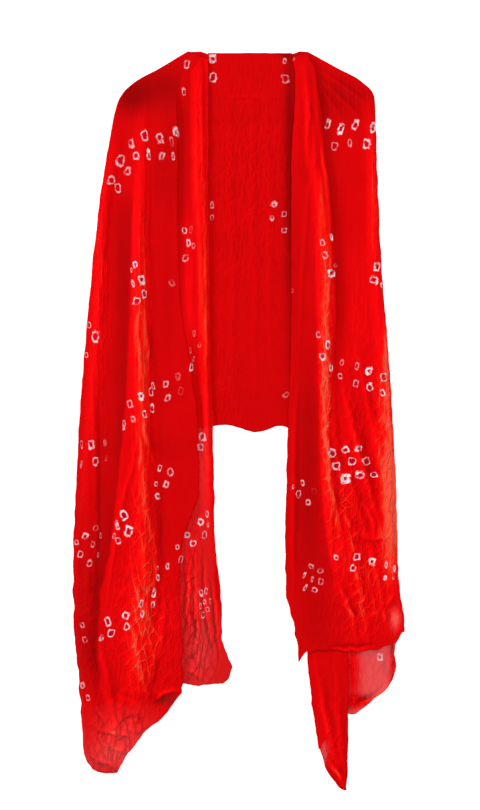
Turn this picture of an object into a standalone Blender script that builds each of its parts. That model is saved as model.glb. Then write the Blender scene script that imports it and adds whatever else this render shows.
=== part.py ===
"""A long tie-dyed stole, laid out on a table the way it is worn.

One sheet of thin crinkled cloth. The back panel lies flat on the table. At each
side it folds over and comes back over itself as a flap that runs down the front.
Sizes in millimetres, x to the right, y towards the neck, z up from the table.
"""
import math
from collections import namedtuple

import bmesh
import bpy
from mathutils import Vector

# the scene is in metres
MM = 0.001

# thickness of the crinkled cloth, and how far apart the middles of two layers lie
CLOTH = 1.2
STEP = 4.0
OVER_BACK = 4.4
TABLE = CLOTH / 2

# the turned neck edge: how deep it goes under the back, and how much it lifts it
NECK_DEPTH = 86.0
NECK_LIFT = 3.4
NECK_LEFT, NECK_RIGHT = -51.0, 82.0
NECK_TOP = 585.0
NECK_SLOPE_FROM, NECK_SLOPE_TO = 34.0, 8.0
NECK_FOOT_FROM, NECK_FOOT_TO = 30.0, 6.0

# how wide the rounded folds are, and how far the end of a flap stays above what it rests on
FOLD_ROUND = 2.0
SIDE_ROUND = 3.0
END_LIFT = 1.6

# A pleat's overlap is the way from its root to its fold: below OPENED it lies flat, from
# CLOSED on its layers lie stacked. From CROSS_FROM to CROSS_FULL its turns grow round.
OPENED, CLOSED = -9.0, 2.0
CROSS_FROM, CROSS_FULL = -2.0, 9.0
TURN_OPEN, TURN_CROSSED = 0.5, 0.8
SLACK = 0.2
PLEAT_GROWS = 1.4

# the top layer hangs down past the pleat, over at most this width
HANG_CLEAR = 4.0
HANG_LEAST, HANG_MOST = 4.0, 60.0

# the flaps come down off the back panel between these heights
DROP_LOW, DROP_HIGH = -64.0, -22.0

# the under layer starts this far inside the right flap's end
SPLIT_INSIDE = 6.0

# station numbers: the back panel runs from NECK to HEM, the flaps go on to FOOT
NECK, HEM, FOOT = 0, 9, 14

# over how many stations the rows bend from level to the line of the hem
FLAP_BENDS, UNDER_BENDS, STRIP_BENDS, BACK_BENDS = 3.4, 2.4, 1.2, 1.0

# the ridges start between these stations
RIDGES_FROM, RIDGES_FULL = 0.6, 2.2

# rows of the mesh between one station and the next
ROWS_OVER_BACK = (1, 1, 1, 1, 2, 2, 2, 3, 2)
ROWS_BELOW = (2, 2, 2, 2, 2)

# Each flap, station by station from the neck down: the edge it starts from, the
# edge it ends at, and the two folds of its pleat. From the start the cloth runs to
# the root, turns back over itself as far as the fold, and turns again to the end.
Station = namedtuple("Station", "start_x start_y end_x end_y root_x fold_x")

LEFT = (
    Station(-51, 585, -66, 590, -56, -61),
    Station(-51, 577, -84, 590, -62, -68),
    Station(-51, 554, -130, 562, -80, -93),
    Station(-51, 522, -172, 538, -93, -99),
    Station(-51, 483, -194, 512, -102, -101),
    Station(-51, 416, -211, 435, -120, -101),
    Station(-51, 328, -226, 336, -144, -101),
    Station(-48, 205, -240, 208, -173, -98),
    Station(-46, 83, -251, 80, -205, -80),
    Station(-43, -13, -258, -16, -229, -69),
    Station(-42, -104, -263, -128, -243, -67),
    Station(-40, -192, -267, -224, -250, -94),
    Station(-31, -272, -266, -320, -247, -99),
    Station(-27, -352, -257, -424, -243, -94),
    Station(-12, -397, -250, -531, -242, -93),
)

RIGHT = (
    Station(98, 589, 83, 585, 93, 88),
    Station(109, 589, 84, 577, 95, 103),
    Station(150, 566, 88, 554, 101, 118),
    Station(195, 541, 88, 522, 102, 122),
    Station(215, 515, 86, 483, 104, 128),
    Station(218, 435, 82, 416, 110, 134),
    Station(222, 328, 82, 328, 120, 146),
    Station(229, 208, 82, 205, 134, 152),
    Station(239, 80, 80, 83, 157, 151),
    Station(245, -16, 76, -13, 164, 146),
    Station(250, -112, 74, -104, 166, 148),
    Station(251, -192, 72, -192, 168, 151),
    Station(255, -272, 73, -272, 170, 154),
    Station(261, -320, 88, -336, 172, 157),
    Station(261, -339, 94, -387, 172, 160),
)

# Below the back hem the right side goes on under the flap: its folded edge, and
# the free edge of the strip turned over on top of it.
Under = namedtuple("Under", "fold_x fold_y free_x free_y")

UNDER = (
    Under(109, -14, 112, -18),
    Under(106, -104, 131, -104),
    Under(104, -192, 157, -195),
    Under(104, -272, 167, -288),
    Under(109, -368, 174, -416),
    Under(127, -526, 171, -592),
)

# hems, each from the start of its strip to the end
LEFT_HEMS = (
    ((-12, -397), (-19, -416), (-26, -423), (-42, -422), (-53, -424), (-67, -427), (-90, -421),
     (-95, -425), (-242, -451)),
    ((-242, -451), (-216, -450), (-142, -450), (-115, -438), (-93, -427)),
    ((-93, -427), (-92, -436), (-107, -454), (-123, -474), (-148, -493), (-163, -512), (-178, -531),
     (-190, -551), (-196, -563), (-212, -565), (-236, -556), (-245, -545), (-250, -531)),
)
RIGHT_HEMS = (
    ((261, -339), (254, -352), (242, -358), (222, -366), (189, -370), (172, -369)),
    ((172, -369), (160, -368)),
    ((160, -368), (147, -366), (108, -368), (103, -374), (94, -387)),
)
UNDER_HEM = (
    (127, -526), (147, -496), (174, -468), (182, -472), (205, -454), (230, -435), (245, -416),
    (250, -397), (246, -378), (249, -360), (261, -339),
)
STRIP_HEM = ((127, -526), (134, -546), (139, -563), (152, -578), (162, -590), (171, -592))
BACK_HEM = ((-45, -14), (-43, -11), (-24, -9), (-3, -13), (13, -18), (24, -21), (40, -18), (59, -11),
            (77, -14))

# soft ridges standing on the top layer: a line down the cloth, its height there,
# and how far it reaches to the left and to the right
Ridge = namedtuple("Ridge", "x y height left right")
RIDGE_FADE = 40.0

LEFT_TOP_RIDGES = (
    (Ridge(-155, 464, 3, 19, 16), Ridge(-160, 336, 9, 16, 16), Ridge(-162, 192, 11, 16, 16),
     Ridge(-158, 80, 12, 18, 16), Ridge(-157, -16, 12, 21, 18), Ridge(-154, -112, 13, 27, 21),
     Ridge(-155, -224, 13, 29, 24), Ridge(-157, -320, 11, 32, 29), Ridge(-160, -400, 8, 32, 29),
     Ridge(-166, -448, 4, 32, 29)),
    (Ridge(-198, 432, 3, 13, 16), Ridge(-216, 336, 4, 11, 14), Ridge(-225, 208, 5, 13, 16),
     Ridge(-234, 80, 5, 14, 16), Ridge(-241, -128, 5, 16, 19), Ridge(-241, -288, 5, 16, 19),
     Ridge(-237, -432, 4, 16, 19), Ridge(-227, -512, 2, 16, 19)),
)
LEFT_EDGE_RIDGES = (
    (Ridge(-65, 568, 3, 13, 13), Ridge(-64, 512, 6, 13, 12), Ridge(-64, 416, 6, 13, 12),
     Ridge(-61, 320, 6, 12, 10), Ridge(-59, 208, 5, 12, 10), Ridge(-55, 80, 4, 10, 8),
     Ridge(-53, -16, 3, 9, 8), Ridge(-50, -96, 3, 9, 8), Ridge(-44, -192, 2, 9, 8)),
)
RIGHT_TOP_RIDGES = (
    (Ridge(106, 560, 4, 13, 13), Ridge(109, 528, 6, 14, 13), Ridge(114, 477, 8, 16, 13),
     Ridge(118, 416, 9, 16, 14), Ridge(127, 352, 9, 16, 15), Ridge(134, 272, 9, 16, 15),
     Ridge(138, 176, 9, 16, 14), Ridge(138, 109, 9, 16, 15), Ridge(138, 32, 9, 16, 19),
     Ridge(141, -48, 9, 16, 26), Ridge(150, -128, 9, 18, 35), Ridge(163, -200, 7, 22, 42),
     Ridge(179, -288, 4, 26, 48)),
)
RIGHT_FRONT_RIDGES = (
    (Ridge(206, 496, 3, 14, 9), Ridge(210, 416, 4, 14, 9), Ridge(214, 288, 5, 14, 9),
     Ridge(220, 192, 5, 14, 10), Ridge(228, 96, 5, 16, 10), Ridge(234, -16, 5, 16, 11),
     Ridge(240, -128, 5, 16, 11), Ridge(243, -240, 4, 16, 11)),
    (Ridge(166, 60, 2, 16, 16), Ridge(186, -32, 5, 18, 18), Ridge(208, -128, 6, 18, 18),
     Ridge(226, -224, 5, 18, 18)),
    (Ridge(172, -170, 2, 18, 18), Ridge(196, -240, 4, 20, 20), Ridge(214, -304, 3, 20, 20)),
)


def ease(low, high, value):
    """0 below low, 1 above high, and a smooth climb between them."""
    t = min(1.0, max(0.0, (value - low) / (high - low)))
    return t * t * (3 - 2 * t)


def mix(a, b, t):
    return a + (b - a) * t


def blend(places, values, at):
    """A smooth curve through the values; it never swings past one of them."""
    count = len(places)
    if at <= places[0]:
        return values[0]
    if at >= places[-1]:
        return values[-1]
    steps = [(values[i + 1] - values[i]) / (places[i + 1] - places[i]) for i in range(count - 1)]
    slopes = [steps[0]]
    for before, after in zip(steps, steps[1:]):
        slopes.append(0.0 if before * after <= 0 else 2 * before * after / (before + after))
    slopes.append(steps[-1])
    i = max(k for k in range(count - 1) if places[k] <= at)
    width = places[i + 1] - places[i]
    t = (at - places[i]) / width
    return ((1 + 2 * t) * (1 - t) ** 2 * values[i] + t * (1 - t) ** 2 * width * slopes[i]
            + t * t * (3 - 2 * t) * values[i + 1] + t * t * (t - 1) * width * slopes[i + 1])


def at_station(table, v, first=0):
    """One row of a table, read smoothly between its stations."""
    places = [first + i for i in range(len(table))]
    return type(table[0])(*(blend(places, column, v) for column in zip(*table)))


def along(line, t):
    """The point a share t of the way along a bent line."""
    lengths = [math.dist(a, b) for a, b in zip(line, line[1:])]
    left = t * sum(lengths)
    for (a, b), length in zip(zip(line, line[1:]), lengths):
        if left <= length or b == line[-1]:
            share = min(1.0, left / length)
            return mix(a[0], b[0], share), mix(a[1], b[1], share)
        left -= length


def ridge_height(ridges, x, y):
    height = 0.0
    for ridge in ridges:
        down = [-point.y for point in ridge]
        here = Ridge(*(blend(down, column, -y) for column in zip(*ridge)))
        fade = ease(down[0] - RIDGE_FADE, down[0], -y) * (1 - ease(down[-1], down[-1] + RIDGE_FADE, -y))
        reach = here.right if x > here.x else here.left
        away = min(1.0, abs(x - here.x) / reach)
        height = max(height, here.height * fade * math.cos(away * math.pi / 2) ** 2)
    return height


def back_height(x, y):
    """The back panel: flat on the table, lifted where the neck edge is turned under."""
    left = ease(NECK_LEFT - NECK_SLOPE_FROM, NECK_LEFT - NECK_SLOPE_TO, x)
    right = 1 - ease(NECK_RIGHT + NECK_SLOPE_TO, NECK_RIGHT + NECK_SLOPE_FROM, x)
    down = ease(NECK_TOP - NECK_DEPTH - NECK_FOOT_FROM, NECK_TOP - NECK_DEPTH - NECK_FOOT_TO, y)
    return TABLE + NECK_LIFT * left * right * down


# Where a flap lies: what it rests on over the back panel and below its hem, the
# height its free or folded end comes down to, and its ridges.
Flap = namedtuple("Flap", "table hems rest_below end_below side_fold pleat_top ridges_start ridges_end")

LEFT_FLAP = Flap(LEFT, LEFT_HEMS, TABLE, 2.6, "end", 2.2, LEFT_EDGE_RIDGES, LEFT_TOP_RIDGES)
RIGHT_FLAP = Flap(RIGHT, RIGHT_HEMS, 9.4, 2.4, "start", -2.0, RIGHT_FRONT_RIDGES, RIGHT_TOP_RIDGES)



def flap_rest(flap, x, y):
    """Height of the lowest layer of a flap."""
    over = back_height(x, y) + OVER_BACK
    return mix(flap.rest_below, over, ease(DROP_LOW, DROP_HIGH, y))


def side_share(flap, v):
    """How round the fold at the flap's side is; it closes where the back panel ends."""
    return 1 - ease(HEM - 0.5, HEM, v) if flap.side_fold == "end" else 1.0


def flap_point(flap, strip, t, v):
    """A point of a flap. Strips 0, 2 and 4 are its layers, 1 and 3 the turns between."""
    here = at_station(flap.table, v)
    last = flap.table[-1]
    overlap = here.fold_x - here.root_x
    lift = ease(OPENED, CLOSED, overlap) * ease(flap.pleat_top, flap.pleat_top + PLEAT_GROWS, v)
    crossed = ease(CROSS_FROM, CROSS_FULL, overlap)
    bend = mix(TURN_OPEN, TURN_CROSSED, crossed)
    slack = SLACK * abs(overlap) * (1 - crossed)
    inward = 1 if flap.side_fold == "end" else -1
    tuck = SIDE_ROUND * side_share(flap, v) * inward
    start_x = here.start_x + (tuck if flap.side_fold == "start" else 0)
    end_x = here.end_x + (tuck if flap.side_fold == "end" else 0)
    ends = ((start_x, here.root_x + slack), None, (here.root_x - slack, here.fold_x + slack), None,
            (here.fold_x - slack, end_x))
    lasts = ((last.start_x, last.root_x), None, (last.root_x, last.fold_x), None,
             (last.fold_x, last.end_x))
    if strip in (0, 2, 4):
        x = mix(*ends[strip], t)
        level = (0, None, mix(bend, 2 - bend, t), None, 2)[strip]
        hem = along(flap.hems[strip // 2], t)
        last_x = mix(*lasts[strip], t)
    else:
        turn = math.pi * t
        middle = here.root_x if strip == 1 else here.fold_x
        side = -1 if strip == 1 else 1
        x = middle + side * FOLD_ROUND * crossed * math.sin(turn) + slack * (1 - 2 * t)
        rise = bend * (1 - math.cos(turn)) / 2
        level = rise if strip == 1 else 2 - bend + rise
        hem = along(flap.hems[strip // 2], 1)
        last_x = last.root_x if strip == 1 else last.fold_x
    share = (x - here.start_x) / (here.end_x - here.start_x)
    y = mix(here.start_y, here.end_y, share)
    last_share = (last_x - last.start_x) / (last.end_x - last.start_x)
    last_y = mix(last.start_y, last.end_y, last_share)
    pull = ease(FOOT - FLAP_BENDS, FOOT, v)
    x += pull * (hem[0] - last_x)
    y += pull * (hem[1] - last_y)
    z = flap_rest(flap, x, y) + STEP * lift * level
    grown = ease(RIDGES_FROM, RIDGES_FULL, v)
    if strip == 4:
        hang_from = here.root_x - FOLD_ROUND - HANG_CLEAR * crossed
        span = max(HANG_LEAST, hang_from - here.end_x)
        hang = ease(0, min(span, HANG_MOST), hang_from - x)
        over = flap_rest(flap, x, y) + END_LIFT * lift
        low = mix(flap.end_below, over, ease(DROP_LOW, DROP_HIGH, y))
        z = mix(z, low, hang * lift) + grown * ridge_height(flap.ridges_end, x, y)
    if strip == 0:
        z += grown * ridge_height(flap.ridges_start, x, y)
    return x, y, z


def back_line(v):
    """Corners of one row of the back panel, left to right."""
    left, right = at_station(LEFT, v), at_station(RIGHT, v)
    under = at_station(UNDER, v, HEM)
    split = mix(right.end_x + SPLIT_INSIDE, UNDER[0].fold_x, v / HEM) if v <= HEM else under.fold_x
    share = (split - right.end_x) / (right.start_x - right.end_x)
    split_y = mix(right.end_y, right.start_y, share) if v <= HEM else under.fold_y
    tuck = SIDE_ROUND * side_share(LEFT_FLAP, v)
    return (
        (left.end_x + tuck, mix(left.end_y, left.start_y, tuck / (left.start_x - left.end_x))),
        (left.start_x, left.start_y), (right.end_x, right.end_y), (split, split_y),
        (right.start_x - SIDE_ROUND, right.start_y),
    )


def back_point(strip, t, v):
    corners = back_line(v)
    x = mix(corners[strip][0], corners[strip + 1][0], t)
    y = mix(corners[strip][1], corners[strip + 1][1], t)
    if strip == 1:
        hem_y = blend([p[0] for p in BACK_HEM], [p[1] for p in BACK_HEM], x)
        y += ease(HEM - BACK_BENDS, HEM, v) * (hem_y - mix(BACK_HEM[0][1], BACK_HEM[-1][1], t))
    if strip == 3 and v > HEM:
        last = back_line(FOOT)
        hem = along(UNDER_HEM, t)
        pull = ease(FOOT - UNDER_BENDS, FOOT, v)
        x += pull * (hem[0] - mix(last[3][0], last[4][0], t))
        y += pull * (hem[1] - mix(last[3][1], last[4][1], t))
    return x, y, back_height(x, y)


def side_point(flap, t, v):
    """The fold at the side, where the back panel turns over to become the flap."""
    strip, end = (4, 1.0) if flap.side_fold == "end" else (0, 0.0)
    top = flap_point(flap, strip, end, v)
    foot = back_point(0, 0.0, v) if flap.side_fold == "end" else back_point(3, 1.0, v)
    side = -1 if flap.side_fold == "end" else 1
    turn = math.pi * t
    share = (1 - math.cos(turn)) / 2
    x = mix(top[0], foot[0], share) + side * SIDE_ROUND * side_share(flap, v) * math.sin(turn)
    return x, mix(top[1], foot[1], share), mix(top[2], foot[2], share)


def strip_point(t, v):
    """The strip turned over the under layer. Up to 0 it is still in its turn, 1 is its free edge."""
    here = at_station(UNDER, v, HEM)
    last = UNDER[-1]
    if t <= 0:
        turn = math.pi * (t + 1)
        x = here.fold_x - FOLD_ROUND * math.sin(turn)
        return x, here.fold_y, TABLE + OVER_BACK * (1 - math.cos(turn)) / 2
    x = mix(here.fold_x, here.free_x, t)
    y = mix(here.fold_y, here.free_y, t)
    hem = along(STRIP_HEM, t)
    pull = ease(FOOT - STRIP_BENDS, FOOT, v)
    x += pull * (hem[0] - mix(last.fold_x, last.free_x, t))
    y += pull * (hem[1] - mix(last.fold_y, last.free_y, t))
    return x, y, TABLE + OVER_BACK


def neck_point(t, column_t):
    """The turned neck edge. Up to 0 it is still in its turn, 1 is its free edge."""
    x, y, z = back_point(1, column_t, NECK)
    if t <= 0:
        turn = math.pi * (t + 1)
        return x, y + FOLD_ROUND * math.sin(turn), mix(z, TABLE, (1 - math.cos(turn)) / 2)
    return x, y - NECK_DEPTH * t, TABLE


def turned_over(turn_steps, flat_steps):
    """Places across a turned edge: its turn up to 0, then the flat cloth up to 1."""
    turn = [(i + 1) / turn_steps - 1 for i in range(turn_steps)]
    return turn + [(i + 1) / flat_steps for i in range(flat_steps)]


def rows(counts, first):
    places = [float(first)]
    for station, count in enumerate(counts, first):
        places += [station + (i + 1) / count for i in range(count)]
    return places


# columns of the mesh in each strip, in the order the cloth runs
LEFT_COLUMNS = (8, 4, 6, 4, 15)
BACK_COLUMNS = (8, 9, 2, 9)
RIGHT_COLUMNS = (11, 4, 2, 4, 8)
SIDE_COLUMNS = 4
TURN_STEPS = 4
NECK_STEPS = 2
STRIP_STEPS = 5


def cloth_columns():
    """Every column from the left inner edge to the right one, as a function of the row."""
    columns = []
    marks = {}

    def add(count, point, closed):
        for i in range(count + (1 if closed else 0)):
            columns.append(lambda v, t=i / count: point(t, v))

    for strip, count in enumerate(LEFT_COLUMNS):
        add(count, lambda t, v, s=strip: flap_point(LEFT_FLAP, s, t, v), strip == 4)
    marks["left end"] = len(columns) - 1
    for i in range(1, SIDE_COLUMNS):
        columns.append(lambda v, t=i / SIDE_COLUMNS: side_point(LEFT_FLAP, t, v))
    for strip, count in enumerate(BACK_COLUMNS):
        marks["back", strip] = len(columns)
        add(count, lambda t, v, s=strip: back_point(s, t, v), strip == 3)
    marks["back end"] = len(columns) - 1
    for i in range(1, SIDE_COLUMNS):
        columns.append(lambda v, t=1 - i / SIDE_COLUMNS: side_point(RIGHT_FLAP, t, v))
    for strip, count in enumerate(RIGHT_COLUMNS):
        add(count, lambda t, v, s=strip: flap_point(RIGHT_FLAP, s, t, v), strip == 4)
    return columns, marks


def net(mesh, lines):
    """Join neighbouring lines of corners with four-sided faces."""
    for before, after in zip(lines, lines[1:]):
        for i in range(len(before) - 1):
            mesh.faces.new((before[i], before[i + 1], after[i + 1], after[i]))


def cloth_sheet():
    """The cloth as one open surface."""
    mesh = bmesh.new()
    columns, marks = cloth_columns()
    split = marks["back", 3]
    over = [[mesh.verts.new(column(v)) for column in columns] for v in rows(ROWS_OVER_BACK, NECK)[1:]]
    net(mesh, over)
    back_first, back_end = marks["back", 0], marks["back end"] + 1
    neck_line = [mesh.verts.new(column(NECK)) for column in columns[back_first:back_end]]
    net(mesh, [neck_line, over[0][back_first:back_end]])
    below = rows(ROWS_BELOW, HEM)[1:]
    left_lines = [over[-1][:marks["left end"] + 1]]
    right_lines = [over[-1][split:]]
    for v in below:
        left_lines.append([mesh.verts.new(column(v)) for column in columns[:marks["left end"] + 1]])
        right_lines.append([mesh.verts.new(column(v)) for column in columns[split:]])
    net(mesh, left_lines)
    net(mesh, right_lines)
    strip_lines = []
    for v, line in zip(below, right_lines[1:]):
        corners = [mesh.verts.new(strip_point(t, v)) for t in turned_over(TURN_STEPS, STRIP_STEPS)]
        strip_lines.append(corners[::-1] + [line[0]])
    net(mesh, strip_lines)
    neck_lines = []
    for t in turned_over(TURN_STEPS, NECK_STEPS):
        neck_lines.append([mesh.verts.new(neck_point(t, i / BACK_COLUMNS[1]))
                           for i in range(BACK_COLUMNS[1] + 1)])
    first = BACK_COLUMNS[0]
    neck_lines.insert(0, neck_line[first:first + BACK_COLUMNS[1] + 1])
    net(mesh, neck_lines[::-1])
    bmesh.ops.recalc_face_normals(mesh, faces=mesh.faces[:])
    bmesh.ops.triangulate(mesh, faces=mesh.faces[:], quad_method="SHORT_EDGE")
    bmesh.ops.scale(mesh, vec=(MM, MM, MM), verts=mesh.verts[:])
    return mesh


def thicken(cloth):
    """Half the cloth's thickness to each side of the open sheet."""
    shell = cloth.modifiers.new("Thickness", "SOLIDIFY")
    shell.thickness = CLOTH * MM
    shell.offset = 0.0


def settle(cloth):
    """Put the middle of the footprint on the origin and the lowest point on the table."""
    shape = cloth.evaluated_get(bpy.context.evaluated_depsgraph_get())
    columns = list(zip(*(v.co for v in shape.data.vertices)))
    low = Vector([min(column) for column in columns])
    high = Vector([max(column) for column in columns])
    middle = (low + high) / 2
    cloth.location = (-middle.x, -middle.y, -low.z)


def red_cloth():
    material = bpy.data.materials.new("Tie-dyed crinkled silk")
    material.use_nodes = True
    surface = material.node_tree.nodes["Principled BSDF"]
    surface.inputs["Base Color"].default_value = (0.62, 0.01, 0.02, 1.0)
    surface.inputs["Roughness"].default_value = 0.7
    surface.inputs["Metallic"].default_value = 0.0
    return material


def build():
    for thing in list(bpy.data.objects):
        bpy.data.objects.remove(thing)
    stole = bpy.data.collections.new("Bandhani stole")
    bpy.context.scene.collection.children.link(stole)
    sheet = cloth_sheet()
    mesh = bpy.data.meshes.new("cloth")
    sheet.to_mesh(mesh)
    sheet.free()
    mesh.materials.append(red_cloth())
    cloth = bpy.data.objects.new("cloth", mesh)
    stole.objects.link(cloth)
    thicken(cloth)
    settle(cloth)


build()
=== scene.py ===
"""Looks of the tie-dyed stole: a thin crinkled sheet laid on the folds of the solid.

Tables are in millimetres, x to the right, y towards the neck, z up from the table.
"""
import math
from collections import namedtuple

import bpy
import numpy as np
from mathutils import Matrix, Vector, noise


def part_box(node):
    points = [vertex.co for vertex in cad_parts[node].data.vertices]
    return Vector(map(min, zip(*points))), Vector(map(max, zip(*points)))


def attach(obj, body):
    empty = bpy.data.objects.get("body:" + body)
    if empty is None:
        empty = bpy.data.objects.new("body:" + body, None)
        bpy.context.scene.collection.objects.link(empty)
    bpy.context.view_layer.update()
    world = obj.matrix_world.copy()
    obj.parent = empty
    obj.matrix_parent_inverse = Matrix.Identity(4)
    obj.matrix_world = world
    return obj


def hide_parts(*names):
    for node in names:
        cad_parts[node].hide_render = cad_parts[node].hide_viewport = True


MM = 0.001

# how the layers lie on each other, as in the solid
CLOTH = 1.2
STEP = 4.0
OVER_BACK = 4.4
TABLE = CLOTH / 2
FOLD_ROUND = 2.0
SIDE_ROUND = 3.0
END_LIFT = 1.6

# the turned neck edge
NECK_DEPTH = 86.0
NECK_LIFT = 3.4
NECK_LEFT, NECK_RIGHT = -51.0, 82.0
NECK_TOP = 585.0
NECK_SLOPE_FROM, NECK_SLOPE_TO = 34.0, 8.0
NECK_FOOT_FROM, NECK_FOOT_TO = 30.0, 6.0

# A pleat's overlap is the way from its root to its fold: below OPENED it lies flat, from
# CLOSED on its layers lie stacked. From CROSS_FROM to CROSS_FULL its turns grow round.
OPENED, CLOSED = -9.0, 2.0
CROSS_FROM, CROSS_FULL = -2.0, 9.0
TURN_OPEN, TURN_CROSSED = 0.5, 0.8
SLACK = 0.2
PLEAT_GROWS = 1.4

# the top layer hangs down past the pleat, over at most this width
HANG_CLEAR = 4.0
HANG_LEAST, HANG_MOST = 4.0, 60.0

# the flaps come down off the back panel between these heights
DROP_LOW, DROP_HIGH = -64.0, -22.0

# the under layer starts this far inside the right flap's end
SPLIT_INSIDE = 6.0

# over how many stations the rows bend from level to the line of the hem
FLAP_BENDS, UNDER_BENDS, STRIP_BENDS, BACK_BENDS = 3.4, 2.4, 1.2, 1.0

# the ridges start between these stations, and fade out over this length at their ends
RIDGES_FROM, RIDGES_FULL = 0.6, 2.2
RIDGE_FADE = 40.0

# stations: neck edge, end of the straight shoulder, back hem, foot of the flaps
NECK, SHOULDER, HEM, FOOT = 0, 2, 9, 14

# Each flap, station by station from the neck down: the edge it starts from, the
# edge it ends at, and the two folds of its pleat.
Station = namedtuple("Station", "start_x start_y end_x end_y root_x fold_x")

LEFT = (
    Station(-51, 585, -66, 590, -56, -61),
    Station(-51, 577, -84, 590, -62, -68),
    Station(-51, 554, -130, 562, -80, -93),
    Station(-51, 522, -172, 538, -93, -99),
    Station(-51, 483, -194, 512, -102, -101),
    Station(-51, 416, -211, 435, -120, -101),
    Station(-51, 328, -226, 336, -144, -101),
    Station(-48, 205, -240, 208, -173, -98),
    Station(-46, 83, -251, 80, -205, -80),
    Station(-43, -13, -258, -16, -229, -69),
    Station(-42, -104, -263, -128, -243, -67),
    Station(-40, -192, -267, -224, -250, -94),
    Station(-31, -272, -266, -320, -247, -99),
    Station(-27, -352, -257, -424, -243, -94),
    Station(-12, -397, -250, -531, -242, -93),
)

RIGHT = (
    Station(98, 589, 83, 585, 93, 88),
    Station(109, 589, 84, 577, 95, 103),
    Station(150, 566, 88, 554, 101, 118),
    Station(195, 541, 88, 522, 102, 122),
    Station(215, 515, 86, 483, 104, 128),
    Station(218, 435, 82, 416, 110, 134),
    Station(222, 328, 82, 328, 120, 146),
    Station(229, 208, 82, 205, 134, 152),
    Station(239, 80, 80, 83, 157, 151),
    Station(245, -16, 76, -13, 164, 146),
    Station(250, -112, 74, -104, 166, 148),
    Station(251, -192, 72, -192, 168, 151),
    Station(255, -272, 73, -272, 170, 154),
    Station(261, -320, 88, -336, 172, 157),
    Station(261, -339, 94, -387, 172, 160),
)

# below the back hem: the under layer's folded edge and the free edge of its strip
Under = namedtuple("Under", "fold_x fold_y free_x free_y")

UNDER = (
    Under(109, -14, 112, -18),
    Under(106, -104, 131, -104),
    Under(104, -192, 157, -195),
    Under(104, -272, 167, -288),
    Under(109, -368, 174, -416),
    Under(127, -526, 171, -592),
)

# hems, each from the start of its strip to the end
LEFT_HEMS = (
    ((-12, -397), (-19, -416), (-26, -423), (-42, -422), (-53, -424), (-67, -427), (-90, -421),
     (-95, -425), (-118, -441), (-140, -446), (-168, -440), (-190, -449), (-214, -444), (-242, -451)),
    ((-242, -451), (-226, -458), (-204, -447), (-180, -456), (-160, -450), (-142, -455), (-115, -438),
     (-93, -427)),
    ((-93, -427), (-92, -436), (-107, -454), (-123, -474), (-148, -493), (-163, -512), (-178, -531),
     (-190, -551), (-196, -563), (-212, -565), (-236, -556), (-245, -545), (-250, -531)),
)
RIGHT_HEMS = (
    ((261, -339), (254, -352), (242, -358), (222, -366), (189, -370), (172, -369)),
    ((172, -369), (160, -368)),
    ((160, -368), (147, -366), (108, -368), (103, -374), (94, -387)),
)
UNDER_HEM = (
    (127, -526), (147, -496), (174, -468), (182, -472), (205, -454), (230, -435), (245, -416),
    (250, -397), (246, -378), (249, -360), (261, -339),
)
STRIP_HEM = ((127, -526), (134, -546), (139, -563), (152, -578), (162, -590), (171, -592))
BACK_HEM = ((-45, -14), (-43, -11), (-24, -9), (-3, -13), (13, -18), (24, -21), (40, -18), (59, -11),
            (77, -14))

# soft ridges of the solid, each a line down the cloth
Ridge = namedtuple("Ridge", "x y height left right")

LEFT_TOP_RIDGES = (
    (Ridge(-155, 464, 3, 19, 16), Ridge(-160, 336, 9, 16, 16), Ridge(-162, 192, 11, 16, 16),
     Ridge(-158, 80, 12, 18, 16), Ridge(-157, -16, 12, 21, 18), Ridge(-154, -112, 13, 27, 21),
     Ridge(-155, -224, 13, 29, 24), Ridge(-157, -320, 11, 32, 29), Ridge(-160, -400, 8, 32, 29),
     Ridge(-166, -448, 4, 32, 29)),
    (Ridge(-198, 432, 3, 13, 16), Ridge(-216, 336, 4, 11, 14), Ridge(-225, 208, 5, 13, 16),
     Ridge(-234, 80, 5, 14, 16), Ridge(-241, -128, 5, 16, 19), Ridge(-241, -288, 5, 16, 19),
     Ridge(-237, -432, 4, 16, 19), Ridge(-227, -512, 2, 16, 19)),
)
LEFT_EDGE_RIDGES = (
    (Ridge(-65, 568, 3, 13, 13), Ridge(-64, 512, 6, 13, 12), Ridge(-64, 416, 6, 13, 12),
     Ridge(-61, 320, 6, 12, 10), Ridge(-59, 208, 5, 12, 10), Ridge(-55, 80, 4, 10, 8),
     Ridge(-53, -16, 3, 9, 8), Ridge(-50, -96, 3, 9, 8), Ridge(-44, -192, 2, 9, 8)),
)
RIGHT_TOP_RIDGES = (
    (Ridge(106, 560, 4, 13, 13), Ridge(109, 528, 6, 14, 13), Ridge(114, 477, 8, 16, 13),
     Ridge(118, 416, 9, 16, 14), Ridge(127, 352, 9, 16, 15), Ridge(134, 272, 9, 16, 15),
     Ridge(138, 176, 9, 16, 14), Ridge(138, 109, 9, 16, 15), Ridge(138, 32, 9, 16, 19),
     Ridge(141, -48, 9, 16, 26), Ridge(150, -128, 9, 18, 35), Ridge(163, -200, 7, 22, 42),
     Ridge(179, -288, 4, 26, 48)),
)
RIGHT_FRONT_RIDGES = (
    (Ridge(206, 496, 3, 14, 9), Ridge(210, 416, 4, 14, 9), Ridge(214, 288, 5, 14, 9),
     Ridge(220, 192, 5, 14, 10), Ridge(228, 96, 5, 16, 10), Ridge(234, -16, 5, 16, 11),
     Ridge(240, -128, 5, 16, 11), Ridge(243, -240, 4, 16, 11)),
    (Ridge(166, 60, 2, 16, 16), Ridge(186, -32, 5, 18, 18), Ridge(208, -128, 6, 18, 18),
     Ridge(226, -224, 5, 18, 18)),
    (Ridge(172, -170, 2, 18, 18), Ridge(196, -240, 4, 20, 20), Ridge(214, -304, 3, 20, 20)),
)
TALLEST_RIDGE = 11.0

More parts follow.
